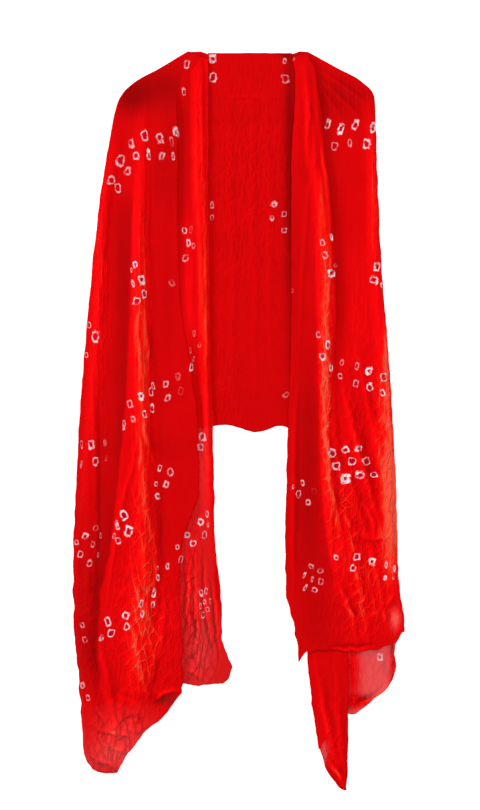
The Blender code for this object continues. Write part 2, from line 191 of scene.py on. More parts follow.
# the turned strip gets the painted light and the crumpling of this share of a ridge
STRIP_RIDGE = 0.3

# the layers of the sheet: the stretch of cloth each one belongs to, how deep it crinkles,
# how bright it is painted (its painted light and shade) and how much light it stops
Layer = namedtuple("Layer", "name number stretch crinkle lit stops")
LAYERS = {
    layer.name: layer for layer in (
        Layer("left under", 0, 0, 1.0, 0.50, 0.985),
        Layer("left middle", 1, 0, 0.3, 0.40, 1.0),
        Layer("left top", 2, 0, 1.2, 0.45, 1.0),
        Layer("back", 3, 1, 0.5, 0.43, 1.0),
        Layer("right front", 4, 2, 1.2, 0.50, 1.0),
        Layer("right middle", 5, 2, 1.1, 0.50, 1.0),
        Layer("right top", 6, 2, 1.0, 0.50, 1.0),
        Layer("right under", 7, 1, 1.0, 0.68, 0.885),
        Layer("strip", 8, 1, 0.8, 0.43, 1.0),
        Layer("neck", 9, 1, 0.0, 0.45, 1.0),
        Layer("left side", 10, 0, 0.6, 0.45, 1.0),
        Layer("right side", 11, 2, 0.6, 0.55, 1.0),
    )
}

# below the pleat the right flap lies as one surface
FLAP_LAYERS = {"right": ("right front", "right middle", "right top", "right side")}

# creases laid one by one: which layer, where they run, how high, wide and bright
Crease = namedtuple("Crease", "layer height width line lit", defaults=(0.20,))
# each crease's last column is its painted highlight, with painted shade in the hollow beside it; below 0
# the crease is painted dark and the hollow light
CREASES = (
    Crease("left top", 1.4, 2.2, ((-168, 400), (-170, 300), (-166, 200), (-168, 90), (-162, 0)), 0.1),
    Crease("left top", 1.6, 2.2,
           ((-152, 330), (-150, 230), (-153, 120), (-146, 20), (-136, -60)), 0.1),
    Crease("left top", 1.4, 2.2,
           ((-160, 260), (-156, 160), (-158, 60), (-150, -40), (-150, -120)), 0.1),
    Crease("left top", 1.8, 2.6,
           ((-162, -10), (-172, -70), (-186, -120), (-200, -200), (-214, -300))),
    Crease("left top", 2.0, 4, ((-158, -60), (-150, -130), (-140, -180), (-134, -250))),
    Crease("left top", 2.0, 4, ((-140, -60), (-137, -140), (-133, -220), (-138, -300))),
    Crease("left top", 1.6, 3, ((-176, -200), (-168, -260), (-150, -310), (-130, -350))),
    Crease("left top", 1.8, 4, ((-190, -300), (-170, -340), (-160, -400), (-146, -450))),
    Crease("left top", 1.6, 4, ((-120, -290), (-128, -350), (-146, -410), (-150, -460))),
    Crease("left top", 1.6, 4, ((-230, -320), (-216, -390), (-206, -450), (-200, -520))),
    Crease("left top", 1.4, 4, ((-186, -430), (-196, -480), (-216, -530))),
    Crease("left top", 1.2, 3, ((-236, 60), (-232, -40), (-230, -160), (-234, -260))),
    Crease("left top", 1.4, 2.6, ((-162, 176), (-164, 136), (-156, 80)), 0.3),
    Crease("left top", 1.4, 2.6, ((-152, 172), (-148, 124), (-144, 68)), 0.3),
    Crease("left top", 1.4, 2.6, ((-140, 24), (-152, -12), (-144, -48), (-132, -80)), 0.3),
    Crease("left top", 1.4, 2.6, ((-164, -12), (-156, -48), (-160, -88)), 0.3),
    Crease("left top", 1.0, 1.9, ((-232, -461), (-219, -485)), -0.45),
    Crease("left top", 1.4, 1.9, ((-240, -488), (-219, -499), (-192, -502), (-168, -512)), -0.6),
    Crease("left top", 1.0, 1.9, ((-195, -480), (-165, -472), (-157, -480)), -0.5),
    Crease("left top", 1.0, 1.9, ((-184, -496), (-155, -499)), -0.5),
    Crease("left top", 1.0, 1.9, ((-219, -520), (-195, -528), (-179, -531)), -0.5),
    Crease("left top", 1.4, 2.2, ((-243, -536), (-219, -549), (-197, -557)), -0.6),
    Crease("left top", 1.6, 3,
           ((-224, -410), (-210, -450), (-192, -440), (-165, -450), (-139, -448)), 0.2),
    Crease("left top", 2.0, 2.2, ((-142, -450), (-123, -436), (-107, -432), (-96, -432)), 0.5),
    Crease("left under", 1.2, 1.9, ((-88, -219), (-85, -259), (-88, -299), (-85, -341)), -0.6),
    Crease("left under", 1.2, 1.9,
           ((-75, -208), (-74, -251), (-77, -299), (-69, -341), (-77, -379)), -0.7),
    Crease("left under", 1.2, 1.9,
           ((-61, -203), (-59, -245), (-61, -299), (-48, -352), (-43, -384)), -0.7),
    Crease("left under", 1.2, 1.9,
           ((-51, -245), (-45, -280), (-43, -312), (-37, -352), (-35, -389)), -0.6),
    Crease("left under", 1.0, 2.4, ((-40, -224), (-36, -272), (-32, -312)), -0.3),
    Crease("left under", 1.0, 2.4, ((-69, -363), (-80, -395)), -0.4),
    Crease("left under", 1.0, 2.4, ((-88, -400), (-75, -408), (-64, -419)), -0.4),
    Crease("left under", 1.6, 3,
           ((-60, 560), (-59, 430), (-57, 300), (-54, 150), (-52, 20), (-48, -100))),
    Crease("left under", 1.2, 3, ((-70, 540), (-71, 430), (-68, 330), (-64, 230), (-60, 120))),
    Crease("back", 0.7, 4,
           ((-20, 560), (-16, 480), (-18, 380), (-12, 260), (-14, 120), (-10, 20)), 0.05),
    Crease("back", 0.6, 4, ((14, 560), (20, 470), (18, 360), (24, 240), (22, 130), (26, 20)), 0.05),
    Crease("back", 0.6, 4, ((44, 540), (42, 440), (48, 340), (46, 200), (50, 60)), 0.05),
    Crease("back", 0.6, 2.0, ((-38, 516), (0, 518), (40, 515), (76, 517)), 0.10),
    Crease("back", 0.5, 1.8, ((-36, 506), (-4, 508), (36, 506), (70, 508)), 0.07),
    Crease("right top", 1.8, 3,
           ((104, 508), (107, 448), (112, 384), (104, 320), (98, 208), (94, 90)), 0.10),
    Crease("right", 1.6, 3, ((92, 60), (86, -20), (85, -110), (84, -200), (86, -280))),
    Crease("right top", 0.6, 3,
           ((114, 572), (119, 528), (125, 464), (135, 392), (140, 352), (142, 296),
            (148, 208), (151, 144)), 0.34),
    Crease("right top", 0.8, 3, ((104, 540), (108, 490), (105, 450), (107, 400)), 0.30),
    Crease("right top", 1.6, 2.4,
           ((122, 470), (126, 400), (134, 330), (142, 240), (140, 150), (136, 60)), 0.1),
    Crease("right front", 0.8, 2.0, ((120, 562), (150, 544), (190, 514), (214, 492)), 0.14),
    Crease("right front", 0.8, 2.0, ((122, 550), (152, 522), (182, 492), (206, 462)), 0.12),
    Crease("right front", 0.8, 2.0, ((140, 566), (178, 546), (206, 526)), 0.12),
    Crease("right front", 0.8, 2.0, ((126, 532), (150, 500), (168, 470)), 0.10),
    Crease("right", 1.6, 3, ((132, 60), (136, -20), (146, -100), (158, -180), (176, -250))),
    Crease("right", 1.6, 3, ((148, 40), (152, -40), (160, -100))),
    Crease("right", 1.8, 4, ((160, 60), (176, 0), (190, -60), (212, -130), (228, -190))),
    Crease("right front", 1.8, 4, ((186, 120), (200, 40), (216, -30), (232, -100), (240, -180))),
    Crease("right", 1.8, 4, ((172, -80), (186, -140), (206, -200), (222, -270), (232, -330))),
    Crease("right", 1.6, 4, ((174, -200), (186, -250), (198, -310), (206, -355))),
    Crease("right", 1.6, 3, ((172, -186), (194, -184), (216, -188), (240, -184))),
    Crease("right", 1.6, 2.8, ((157, -261), (171, -288), (179, -320), (189, -352)), 0.3),
    Crease("right", 1.2, 2.6, ((173, -301), (187, -320)), 0.3),
    Crease("right", 1.2, 2.6, ((176, -192), (181, -208)), 0.3),
    Crease("right", 1.4, 2.6, ((200, -133), (211, -165), (213, -187)), 0.3),
    Crease("right", 1.2, 2.6, ((232, -301), (229, -325)), 0.3),
    Crease("right", 1.2, 2.6, ((245, -277), (232, -296)), 0.3),
    Crease("right", 1.2, 2.6, ((229, -8), (237, -37)), -0.4),
    Crease("right", 1.2, 2.6, ((144, -107), (149, -128), (147, -149)), 0.3),
    Crease("right", 1.2, 2.6, ((165, -149), (176, -171)), 0.3),
    Crease("right", -0.8, 2.4, ((140, -361), (176, -360), (222, -357)), -0.3),
    Crease("right front", 1.6, 3, ((220, 300), (226, 200), (234, 100), (238, 0), (240, -90))),
    Crease("right under", 1.8, 3, ((176, -462), (192, -446), (212, -440), (232, -418)), -0.5),
    Crease("right under", 1.4, 4, ((178, -474), (200, -460), (226, -436), (246, -402)), 0.2),
    Crease("right under", 1.4, 3, ((238, -372), (230, -392), (236, -412)), -0.35),
    Crease("strip", 1.0, 2.6, ((120, -372), (128, -430), (140, -490), (146, -530)), 0.16),
    Crease("strip", 1.0, 2.6, ((146, -372), (150, -420), (158, -470)), -0.16),
    Crease("strip", 1.2, 2.6, ((140, -540), (150, -556), (160, -572), (168, -580)), 0.4),
    Crease("strip", 1.2, 2.6, ((138, -552), (150, -566), (160, -584)), -0.3),
    Crease("strip", 1.6, 4, ((128, -400), (136, -460), (146, -520), (160, -570))),
    Crease("strip", 1.4, 4, ((150, -390), (156, -450), (160, -520), (166, -570))),
)

# Crisp fold edges down the cloth, with painted light and shade beside them: to the left of the
# line the cloth is painted lighter or darker by the left amount, fading over left_reach, and the same to
# the right.
FoldEdge = namedtuple("FoldEdge", "layer left_lit left_reach right_lit right_reach drop line")
FOLD_EDGES = (
    FoldEdge("left top", 0.10, 16, -0.07, 36, 0.8,
             ((-143, 432), (-145, 264), (-145, 184), (-140, 104), (-134, 24), (-129, -56), (-129, -131),
              (-131, -198), (-133, -246), (-135, -290))),
    FoldEdge("left top", -0.30, 24, 0.16, 14, -1.6,
             ((-171, 350), (-174, 256), (-176, 162), (-182, 24), (-190, -50), (-198, -131), (-208, -214),
              (-222, -275), (-226, -338), (-224, -411))),
    FoldEdge("left top", 0.10, 8, -0.06, 20, 0.8,
             ((-212, 330), (-222, 200), (-228, 60), (-226, -60))),
    FoldEdge("left under", -0.10, 10, 0.14, 12, -1.2,
             ((-70, 304), (-68, 200), (-66, 120), (-58, -16), (-53, -96))),
    FoldEdge("left under", -0.20, 22, 0.10, 10, -1.2,
             ((-80, 592), (-79, 500), (-78, 400), (-76, 330))),
    FoldEdge("right top", -0.14, 40, 0.22, 14, -1.8,
             ((130, 448), (128, 368), (123, 320), (120, 269), (122, 189), (124, 128), (126, 48))),
    FoldEdge("right", -0.20, 40, 0.24, 14, -1.8,
             ((126, 48), (127, -50), (131, -133), (138, -181), (144, -222), (150, -260))),
    FoldEdge("right front", 0.0, 8, -0.14, 22, 0.0,
             ((112, 580), (120, 528), (127, 464), (136, 392), (141, 352), (143, 296), (149, 208),
              (152, 144))),
)

# The tied dots, charted with x to the right, y down, one square to
# 1.6 mm of cloth. Each dot is so tall and wide, leans to the right by so many degrees,
# and is as pale as 9 for white down to 1 for barely there.
SQUARE = 1.6
CHART_X, CHART_Y = 240, 420
PALEST = 9

# the place within a dot that says there is no dot, in radii
NO_DOT = 9.0
Dot = namedtuple("Dot", "x y tall wide lean pale")
LEFT_DOTS = (
    (131.5, 144, 10, 6, -12, 6), (145, 137, 12, 7, -14, 8), (160, 139, 12, 7, -12, 7),
    (176, 133, 11, 6, -14, 7), (172, 143, 11, 4, -6, 4), (120.5, 161.5, 13, 9, 6, 7),
    (136.5, 157, 9, 7, -6, 7), (149, 155.5, 12, 4, -4, 9), (162.5, 157, 8, 6, 6, 6),
    (173.5, 157.5, 10, 3, -6, 6), (111.5, 181, 10, 8, 4, 7), (118, 188.5, 11, 6, -8, 7),
    (128, 172, 10, 7, 12, 6), (187, 65, 10, 6, 8, 6), (184, 92.5, 10, 4, -8, 7),
    (184.5, 231, 8, 5, -8, 8), (191, 230, 9, 3, 12, 3), (188.5, 243.5, 9, 4, -4, 8),
    (193.5, 246, 7, 4, 0, 4), (185.5, 258, 9, 6, 14, 6), (136, 266, 8, 5, -10, 9),
    (132, 271, 5, 2, -4, 7), (133.5, 284, 10, 3, -18, 8), (142.5, 281, 11, 7, -16, 9),
    (145, 295, 10, 5, 4, 9), (137, 302, 9, 7, 16, 9), (172, 283.5, 9, 6, -20, 3),
    (89.5, 325, 7, 4, 0, 6), (96, 337, 13, 8, 8, 8), (86.5, 355, 6, 4, 0, 6),
    (194, 334, 7, 3, 0, 4), (199.5, 345, 7, 4, 10, 3), (190.5, 350, 9, 2, -6, 4),
    (193.5, 359, 7, 2, 12, 4), (191.5, 367, 9, 4, 6, 8), (153.5, 386, 8, 3, -14, 7),
    (166, 384, 8, 6, 8, 6), (178, 377, 8, 6, -10, 3), (181, 391, 8, 5, 10, 2),
    (151.5, 392, 9, 4, -4, 9), (142, 396.5, 10, 6, -8, 9), (130.5, 404, 10, 6, -18, 6),
    (168, 398, 8, 6, 20, 6), (152.5, 408, 9, 4, -6, 9), (145, 414, 8, 4, -8, 9),
    (133.5, 419, 7, 5, -8, 7), (124.5, 425, 11, 3, 0, 7), (92, 445, 10, 7, 4, 8),
    (96, 461, 10, 6, 0, 8), (105.5, 442, 9, 3, 4, 4), (106.5, 458, 7, 2, 8, 3),
    (82, 445, 9, 2, -4, 6), (81.5, 464, 9, 2, 8, 5), (202.5, 437, 10, 8, -6, 7),
    (200.5, 447, 8, 7, 0, 7), (160, 468, 8, 4, 10, 8), (170.5, 472, 8, 7, -20, 6),
    (156.5, 483.5, 5, 3, 0, 9), (166.5, 484, 8, 6, 20, 7), (158, 496, 8, 5, -14, 8),
    (124.5, 515, 11, 8, -16, 9), (129, 530.5, 12, 9, 12, 9), (117.5, 525, 10, 4, -14, 8),
    (114.5, 535, 7, 3, 6, 6), (118.5, 540, 9, 6, -8, 7), (96.5, 527.5, 7, 5, 14, 5),
    (86, 535.5, 7, 7, 14, 7), (77, 542, 6, 5, 0, 6), (93.5, 544, 7, 4, 14, 5),
    (80.5, 554, 8, 6, 10, 7), (90.5, 562.5, 8, 6, 24, 6), (101, 535, 7, 2, 0, 5),
    (98.5, 554, 7, 2, 4, 4), (201, 522, 8, 7, 8, 8), (207, 514, 8, 3, -4, 7),
    (208, 524, 7, 2, 0, 6), (187.5, 535, 8, 6, 10, 8), (204.5, 534.5, 8, 5, -4, 7),
    (193, 543.5, 8, 6, 14, 8), (177.5, 546.5, 6, 4, 0, 7), (181, 559, 8, 4, 10, 8),
    (167.5, 566, 7, 4, 8, 7), (158, 567.5, 5, 2, 0, 8), (158, 577, 7, 3, -4, 9),
    (154.5, 592, 10, 4, 12, 9), (153.5, 603, 8, 4, 12, 9), (142, 602, 8, 4, 22, 8),
    (143, 612, 8, 4, 6, 8), (126.5, 614.5, 10, 7, 16, 9), (127.5, 626, 8, 6, 24, 9),
    (108.5, 621, 10, 6, -20, 9), (111.5, 632.5, 9, 7, 16, 9), (102, 636.5, 8, 4, 16, 7),
    (83, 624.5, 7, 5, -14, 5), (85.5, 639, 7, 5, -8, 5), (83, 684.5, 7, 5, -18, 6),
    (88.5, 696.5, 7, 4, -12, 7), (201, 593, 8, 4, -8, 7), (206, 591, 8, 3, 4, 7),
    (204.5, 602, 5, 3, 0, 7), (210, 601, 6, 2, 4, 6), (200.5, 606, 8, 2, 0, 7),
    (207.5, 609.5, 6, 4, -18, 7), (203, 615, 6, 4, 6, 7),
)
BACK_DOTS = (
    (213, 59, 11, 8, 0, 8), (213, 78, 10, 8, 0, 8), (284.5, 61.5, 6, 4, 0, 6),
    (285.5, 79.5, 10, 8, -14, 5), (274, 204.5, 7, 7, 30, 7), (284, 214, 6, 6, 0, 5),
    (272, 218, 5, 6, -60, 6), (284, 230.5, 6, 6, 0, 6), (286, 395, 5, 8, -40, 4),
    (212, 205, 8, 4, 0, 5), (212, 218, 6, 4, 0, 5),
)
RIGHT_DOTS = (
    (293, 58.5, 7, 3, -10, 4), (327.5, 125, 12, 5, 20, 8), (340.5, 129.5, 12, 6, 16, 9),
    (355, 126, 13, 6, 26, 8), (372.5, 128.5, 11, 6, 0, 9), (334.5, 146.5, 9, 7, 14, 6),
    (349.5, 143.5, 9, 4, 0, 6), (366.5, 144.5, 11, 8, 8, 8), (331, 238, 9, 3, -10, 9),
    (322, 243.5, 8, 5, -14, 7), (324.5, 256.5, 8, 6, -16, 7), (331, 274, 9, 8, -8, 9),
    (335.5, 266, 4, 4, 0, 4), (376.5, 267.5, 10, 7, 8, 9), (373.5, 280.5, 9, 9, 20, 9),
    (382, 286, 7, 4, 0, 8), (292, 291, 5, 3, 10, 3), (318, 334.5, 8, 4, -4, 7),
    (327, 345, 9, 5, 12, 9), (322, 357.5, 8, 7, -10, 9), (330.5, 367.5, 10, 4, 0, 9),
    (341.5, 362.5, 7, 4, 14, 5), (356.5, 366.5, 8, 4, 14, 6), (368.5, 371, 9, 7, 14, 9),
    (383, 377.5, 9, 6, 4, 9), (382, 393, 8, 5, -16, 9), (340, 376.5, 6, 5, -14, 7),
    (355.5, 383.5, 8, 6, 10, 7), (369.5, 387, 9, 7, -10, 9), (331.5, 452.5, 10, 9, 14, 9),
    (345, 449, 8, 8, -20, 9), (358, 448.5, 6, 7, 0, 8), (335.5, 466, 9, 9, 0, 9),
    (351.5, 461, 9, 8, 8, 9), (365.5, 461, 9, 8, -20, 9), (345, 478.5, 11, 11, 0, 9),
    (359, 474.5, 9, 9, 10, 9), (373.5, 474.5, 6, 8, -20, 9), (302.5, 483, 7, 4, -10, 7),
    (293, 486.5, 5, 2, 10, 8), (298, 493.5, 9, 5, 4, 7), (308, 502, 8, 6, 6, 6),
    (314, 491, 6, 5, 0, 2), (336, 557, 6, 5, 0, 8), (356.5, 556, 8, 7, 0, 9),
    (371.5, 561, 8, 8, 14, 9), (352.5, 567.5, 7, 6, 6, 9), (385.5, 564, 8, 3, 0, 9),
    (384.5, 577, 6, 4, 8, 9), (393.5, 568, 8, 3, 0, 9), (393, 577, 3, 2, 0, 9),
    (311, 566, 5, 6, 20, 6), (320, 570, 6, 6, -20, 5), (304, 575, 7, 3, 20, 7),
    (312, 579, 6, 3, 6, 5), (321, 581, 7, 6, 0, 5), (305, 587, 8, 3, 26, 7),
    (314.5, 589, 5, 6, 20, 7), (380, 657, 8, 6, 0, 7),
)
CHARTS = (
    (("left top", "left middle", "left under", "left side"), LEFT_DOTS),
    (("back",), BACK_DOTS),
    (("right top", "right middle", "right front", "right under", "right side"), RIGHT_DOTS),
)

# Soft places: how much lighter or darker the cloth is painted there than its layer (painted
# light and shade), how crumpled it is, and how much thinner it looks.
Patch = namedtuple("Patch", "layer x y reach_x reach_y lit crumple thin")
PATCHES = (
    Patch("left top", -176, 515, 30, 26, -0.34, 0.0, 0),
    Patch("left top", -130, 530, 60, 36, -0.30, 0.0, 0),
    Patch("left top", -154, 482, 5, 60, 0.02, 0.1, 0),
    Patch("left top", -104, 430, 24, 90, -0.10, 0.0, 0),
    Patch("left top", -221, 200, 12, 170, 0.12, 1.0, 0),
    Patch("left top", -190, 240, 9, 130, -0.10, 0.0, 0),
    Patch("left top", -204, -60, 9, 110, 0.06, 0.0, 0),
    Patch("left top", -115, 210, 10, 120, -0.06, 0.0, 0),
    Patch("left top", -125, 400, 16, 60, -0.06, 0.1, 0),
    Patch("left top", -156, 130, 13, 90, 0.08, 0.3, 0),
    Patch("left top", -154, 90, 12, 240, 0.04, 1.0, 0),
    Patch("left top", -149, 90, 6, 200, 0.17, 0.6, 0),
    Patch("left top", -241, -260, 20, 140, -0.20, 0.1, 0),
    Patch("left top", -238, -385, 18, 60, -0.14, 0.1, 0),
    Patch("left top", -158, -170, 26, 110, -0.02, 0.8, 0),
    Patch("left top", -150, -340, 52, 100, 0.20, 1.0, 0),
    Patch("left top", -186, -500, 50, 36, 0.36, 0.6, 0.040),
    Patch("left top", -206, -536, 36, 24, 0.26, 0.5, 0.060),
    Patch("left top", -122, -446, 22, 7, -0.45, 0.2, 0.01),
    Patch("left under", -85, 160, 11, 150, 0.34, 0.1, 0),
    Patch("left under", -66, 520, 13, 70, 0.00, 0.4, 0),
    Patch("left under", -66, 400, 13, 110, 0.20, 0.5, 0),
    Patch("left under", -56, 190, 12, 160, 0.26, 0.9, 0),
    Patch("left under", -53, 400, 4, 260, 0.20, 0.0, 0),
    Patch("left under", -60, -80, 8, 60, 0.44, 0.3, 0.012),
    Patch("left under", -83, -256, 18, 110, 0.28, 0.7, 0.0),
    Patch("left under", -62, -370, 22, 56, 0.18, 0.8, 0.038),
    Patch("left under", -45, -90, 5, 100, 0.10, 0.2, -0.02),
    Patch("left under", -36, -240, 6, 90, 0.08, 0.4, -0.02),
    Patch("back", 80, 450, 10, 200, -0.40, 0.0, 0),
    Patch("back", 80, 220, 10, 200, -0.16, 0.0, 0),
    Patch("back", 72, 588, 9, 8, -0.60, 0.0, 0),
    Patch("back", 0, 10, 90, 60, -0.06, 0.1, 0),
    Patch("back", 10, 380, 70, 190, -0.03, 0.40, 0),
    Patch("back", -40, 60, 30, 90, 0.0, 0.30, 0),
    Patch("right top", 90, 240, 9, 130, -0.10, 0.1, 0),
    Patch("right top", 104, 470, 11, 80, -0.12, 0.6, 0),
    Patch("right top", 120, 360, 8, 100, 0.16, 0.3, 0),
    Patch("right top", 138, 185, 12, 140, 0.16, 1.0, 0),
    Patch("right", 137, 0, 9, 120, 0.20, 1.0, 0),
    Patch("right", 107, -40, 16, 130, -0.15, 0.0, 0),
    Patch("right", 109, -190, 26, 110, -0.12, 0.0, 0),
    Patch("right", 160, -144, 24, 90, 0.22, 0.7, 0),
    Patch("right", 128, -320, 40, 60, -0.15, 0.1, 0),
    Patch("right front", 168, 520, 54, 36, -0.27, 0.3, 0),
    Patch("right front", 186, 170, 30, 120, 0.14, 0.2, 0),
    Patch("right", 186, -90, 30, 140, -0.09, 0.6, 0),
    Patch("right front", 213, 370, 8, 120, 0.30, 0.7, 0),
    Patch("right front", 235, 112, 6, 60, 0.56, 0.8, 0),
    Patch("right", 227, 10, 13, 90, 0.26, 1.0, 0),
    Patch("right", 240, -130, 15, 120, 0.86, 0.9, 0),
    Patch("right", 196, -280, 34, 80, 0.15, 1.0, 0),
    Patch("right", 247, -318, 9, 18, 0.70, 0.2, 0.28),
    Patch("right under", 180, -400, 13, 60, 0.05, 0.3, -0.14),
    Patch("right under", 247, -318, 9, 18, 0.0, 0.0, 0.30),
    Patch("right under", 135, -528, 5, 16, 0.0, 0.0, 0.14),
    Patch("right under", 210, -400, 24, 30, 0.0, 0.3, 0),
    Patch("right under", 244, -390, 5, 50, -0.10, 0.8, -0.11),
    Patch("right under", 194, -450, 40, 10, -0.14, 0.6, -0.11),
    Patch("strip", 150, -520, 20, 60, 0.04, 0.4, 0),
    Patch("strip", 135, -528, 4, 16, 0.20, 0.4, 0.12),
)
CRUMPLE_AT_REST = 0.03

# the creases cross in a web below these heights, on the left flap and on the right one
WEB_FROM, WEB_FROM_RIGHT, WEB_REACH = 60, 330, 260
WEB_AT_REST, WEB_ON_BACK = 0.35, 0.8

# how a ridge shows (a painted highlight up it), a crease (a painted highlight, painted shade in the
# hollow beside it) and a fold edge
RIDGE_PAINTED_LIGHT, RIDGE_CRUMPLE = 0.26, 0.3
PAINTED_HOLLOW, HOLLOW_ASIDE = 0.9, 1.5
CREASE_NARROW, CREASE_SWELL = 0.7, 0.6
EDGE_BLUNT, EDGE_FADE = 1.6, 60.0

# two sets of crinkles, about across wide and down long: long ones, and a net of short ones
Crinkle = namedtuple("Crinkle", "slant across down seed")
LONG_CRINKLES = Crinkle(0.04, 11, 80, 3.0)
NET_CRINKLES = Crinkle(0.3, 14, 24, 13.0)
NET_AT_REST, NET_IN_WEB = 0.15, 0.6
CRINKLE_LEAST, CRINKLE_MORE = 0.3, 2.6
# crinkle crests get painted light and the places between them painted shade, about this middle
CRINKLE_PAINTED_LIGHT, CRINKLE_MIDDLE = 0.16, 0.4
LOWEST = 0.35

# colours from a deep fold to a crest in full light, as a picture shows them
SHADES = ((0.0, "900002"), (0.4, "D20003"), (0.64, "F40308"), (0.8, "FF1C0A"), (1.0, "FF4E38"))
SHADE_RANGE = 1.25

# ribs of creases: how they are turned, how far apart, how much and how often they bend,
# and how large the places are where they come and go
Rib = namedtuple("Rib", "turn apart bend bends_across bends_along comes_across comes_along")
RIBS = (
    Rib(0.0, 7.6, 15, 30, 11, 44, 12),
    Rib(0.12, 8.0, 15, 26, 14, 50, 16),
    Rib(-0.26, 12.0, 16, 24, 18, 44, 24),
    Rib(0.64, 15.0, 16, 22, 20, 48, 36),
)
CREST_SHARPNESS = 4.0
CREST_PAINTED_HIGHLIGHT, CREST_BRIGHT_SHEER = 0.34, -0.40
CREASE_RELIEF = 0.60
HEM_RED = "A00008"
DOT_PALE = "FBDDE2"
DOT_HEART = "A80020"
FLOOR_WHITE = "FFFFFF"
FLOOR_GLOW = 0.5

# how far the cut edges and the folds at the sides wander
WANDER, WANDER_AT_HEM = 1.3, 2.6
WANDER_LOW, WANDER_HIGH = -340, -20
SHOULDER_LOW, SHOULDER_HIGH = 420, 500
SHOULDER_STILL = 0.7
Sway = namedtuple("Sway", "across along seed share")
SIDEWAYS = (Sway(90, 22, 5.0, 1.0), Sway(60, 10, 9.0, 0.5))
LENGTHWAYS = (Sway(20, 90, 15.0, 1.0), Sway(9, 60, 19.0, 0.5))

# columns and rows of the mesh, and how far apart the stretches' patterns are taken
STRETCH_APART = 0.7
LEFT_COLUMNS = (60, 6, 16, 6, 76)
CLOSER_AT_EDGE = 1.7
BACK_COLUMNS = (26, 50, 6, 34)
RIGHT_COLUMNS = (46, 6, 6, 6, 34)
SIDE_COLUMNS = 8
ROWS_OVER_BACK = (4, 6, 8, 8, 13, 17, 23, 24, 18)
ROWS_BELOW = (18, 17, 18, 22, 30)
NECK_TURN, NECK_ROWS = 6, 18
STRIP_TURN, STRIP_COLUMNS = 6, 14
STRIP_FROM = HEM + 0.2


def ease(low, high, value):
    """0 below low, 1 above high, and a smooth climb between them."""
    t = min(1.0, max(0.0, (value - low) / (high - low)))
    return t * t * (3 - 2 * t)


def mix(a, b, t):
    return a + (b - a) * t


def blend(places, values, at):
    """A smooth curve through the values; it never swings past one of them."""
    count = len(places)
    if at <= places[0]:
        return values[0]
    if at >= places[-1]:
        return values[-1]
    steps = [(values[i + 1] - values[i]) / (places[i + 1] - places[i]) for i in range(count - 1)]
    slopes = [steps[0]]
    for before, after in zip(steps, steps[1:]):
        slopes.append(0.0 if before * after <= 0 else 2 * before * after / (before + after))
    slopes.append(steps[-1])
    i = max(k for k in range(count - 1) if places[k] <= at)
    width = places[i + 1] - places[i]
    t = (at - places[i]) / width
    return ((1 + 2 * t) * (1 - t) ** 2 * values[i] + t * (1 - t) ** 2 * width * slopes[i]
            + t * t * (3 - 2 * t) * values[i + 1] + t * t * (t - 1) * width * slopes[i + 1])


kept = {}


def at_station(table, v, first=0):
    """One row of a table, read smoothly between its stations."""
    key = (id(table), v)
    if key not in kept and v < SHOULDER and first == NECK:
        above, below = table[int(v)], table[int(v) + 1]
        kept[key] = type(above)(*(mix(a, b, v - int(v)) for a, b in zip(above, below)))
    if key not in kept:
        places = [first + i for i in range(len(table))]
        kept[key] = type(table[0])(*(blend(places, column, v) for column in zip(*table)))
    return kept[key]


def along(line, t):
    """The point a share t of the way along a bent line."""
    lengths = [math.dist(a, b) for a, b in zip(line, line[1:])]
    left = t * sum(lengths)
    for (a, b), length in zip(zip(line, line[1:]), lengths):
        if left <= length or b == line[-1]:
            share = min(1.0, left / length)
            return mix(a[0], b[0], share), mix(a[1], b[1], share)
        left -= length


def ridge_at(ridge, y):
    """A ridge's line, height and reach at y, looked up every half millimetre."""
    key = (id(ridge), round(y * 2))
    if key not in kept:
        down = [-point.y for point in ridge]
        here = Ridge(*(blend(down, column, -y) for column in zip(*ridge)))
        fade = ease(down[0] - RIDGE_FADE, down[0], -y)
        fade *= 1 - ease(down[-1], down[-1] + RIDGE_FADE, -y)
        kept[key] = here, fade
    return kept[key]


def ridge_height(ridges, x, y):
    height = 0.0
    for ridge in ridges:
        here, fade = ridge_at(ridge, y)
        reach = here.right if x > here.x else here.left
        away = abs(x - here.x) / reach
        if away < 1:
            height = max(height, here.height * fade * math.cos(away * math.pi / 2) ** 2)
    return height


def back_height(x, y):
    """The back panel: flat on the table, lifted where the neck edge is turned under."""
    across = ease(NECK_LEFT - NECK_SLOPE_FROM, NECK_LEFT - NECK_SLOPE_TO, x)
    across *= 1 - ease(NECK_RIGHT + NECK_SLOPE_TO, NECK_RIGHT + NECK_SLOPE_FROM, x)
    foot = NECK_TOP - NECK_DEPTH
    down = ease(foot - NECK_FOOT_FROM, foot - NECK_FOOT_TO, y)
    return TABLE + NECK_LIFT * across * down


Flap = namedtuple("Flap", "table hems rest_below end_below side_fold pleat_top "
                          "ridges_start ridges_end layers")

LEFT_FLAP = Flap(LEFT, LEFT_HEMS, TABLE, 2.6, "end", 2.2, LEFT_EDGE_RIDGES, LEFT_TOP_RIDGES,
                 ("left under", "left middle", "left top"))
RIGHT_FLAP = Flap(RIGHT, RIGHT_HEMS, 9.4, 2.4, "start", -2.0, RIGHT_FRONT_RIDGES, RIGHT_TOP_RIDGES,
                  ("right front", "right middle", "right top"))


def flap_rest(flap, x, y):
    """Height of the lowest layer of a flap."""
    over = back_height(x, y) + OVER_BACK
    return mix(flap.rest_below, over, ease(DROP_LOW, DROP_HIGH, y))


# A point of the sheet: where it is, its layer, and how far up a ridge it stands.
Point = namedtuple("Point", "x y z layer ridge")


def side_share(flap, v):
    """How round the fold at the flap's side is; it closes before the back panel ends."""
    return 1 - ease(HEM - 0.5, HEM, v) if flap.side_fold == "end" else 1.0


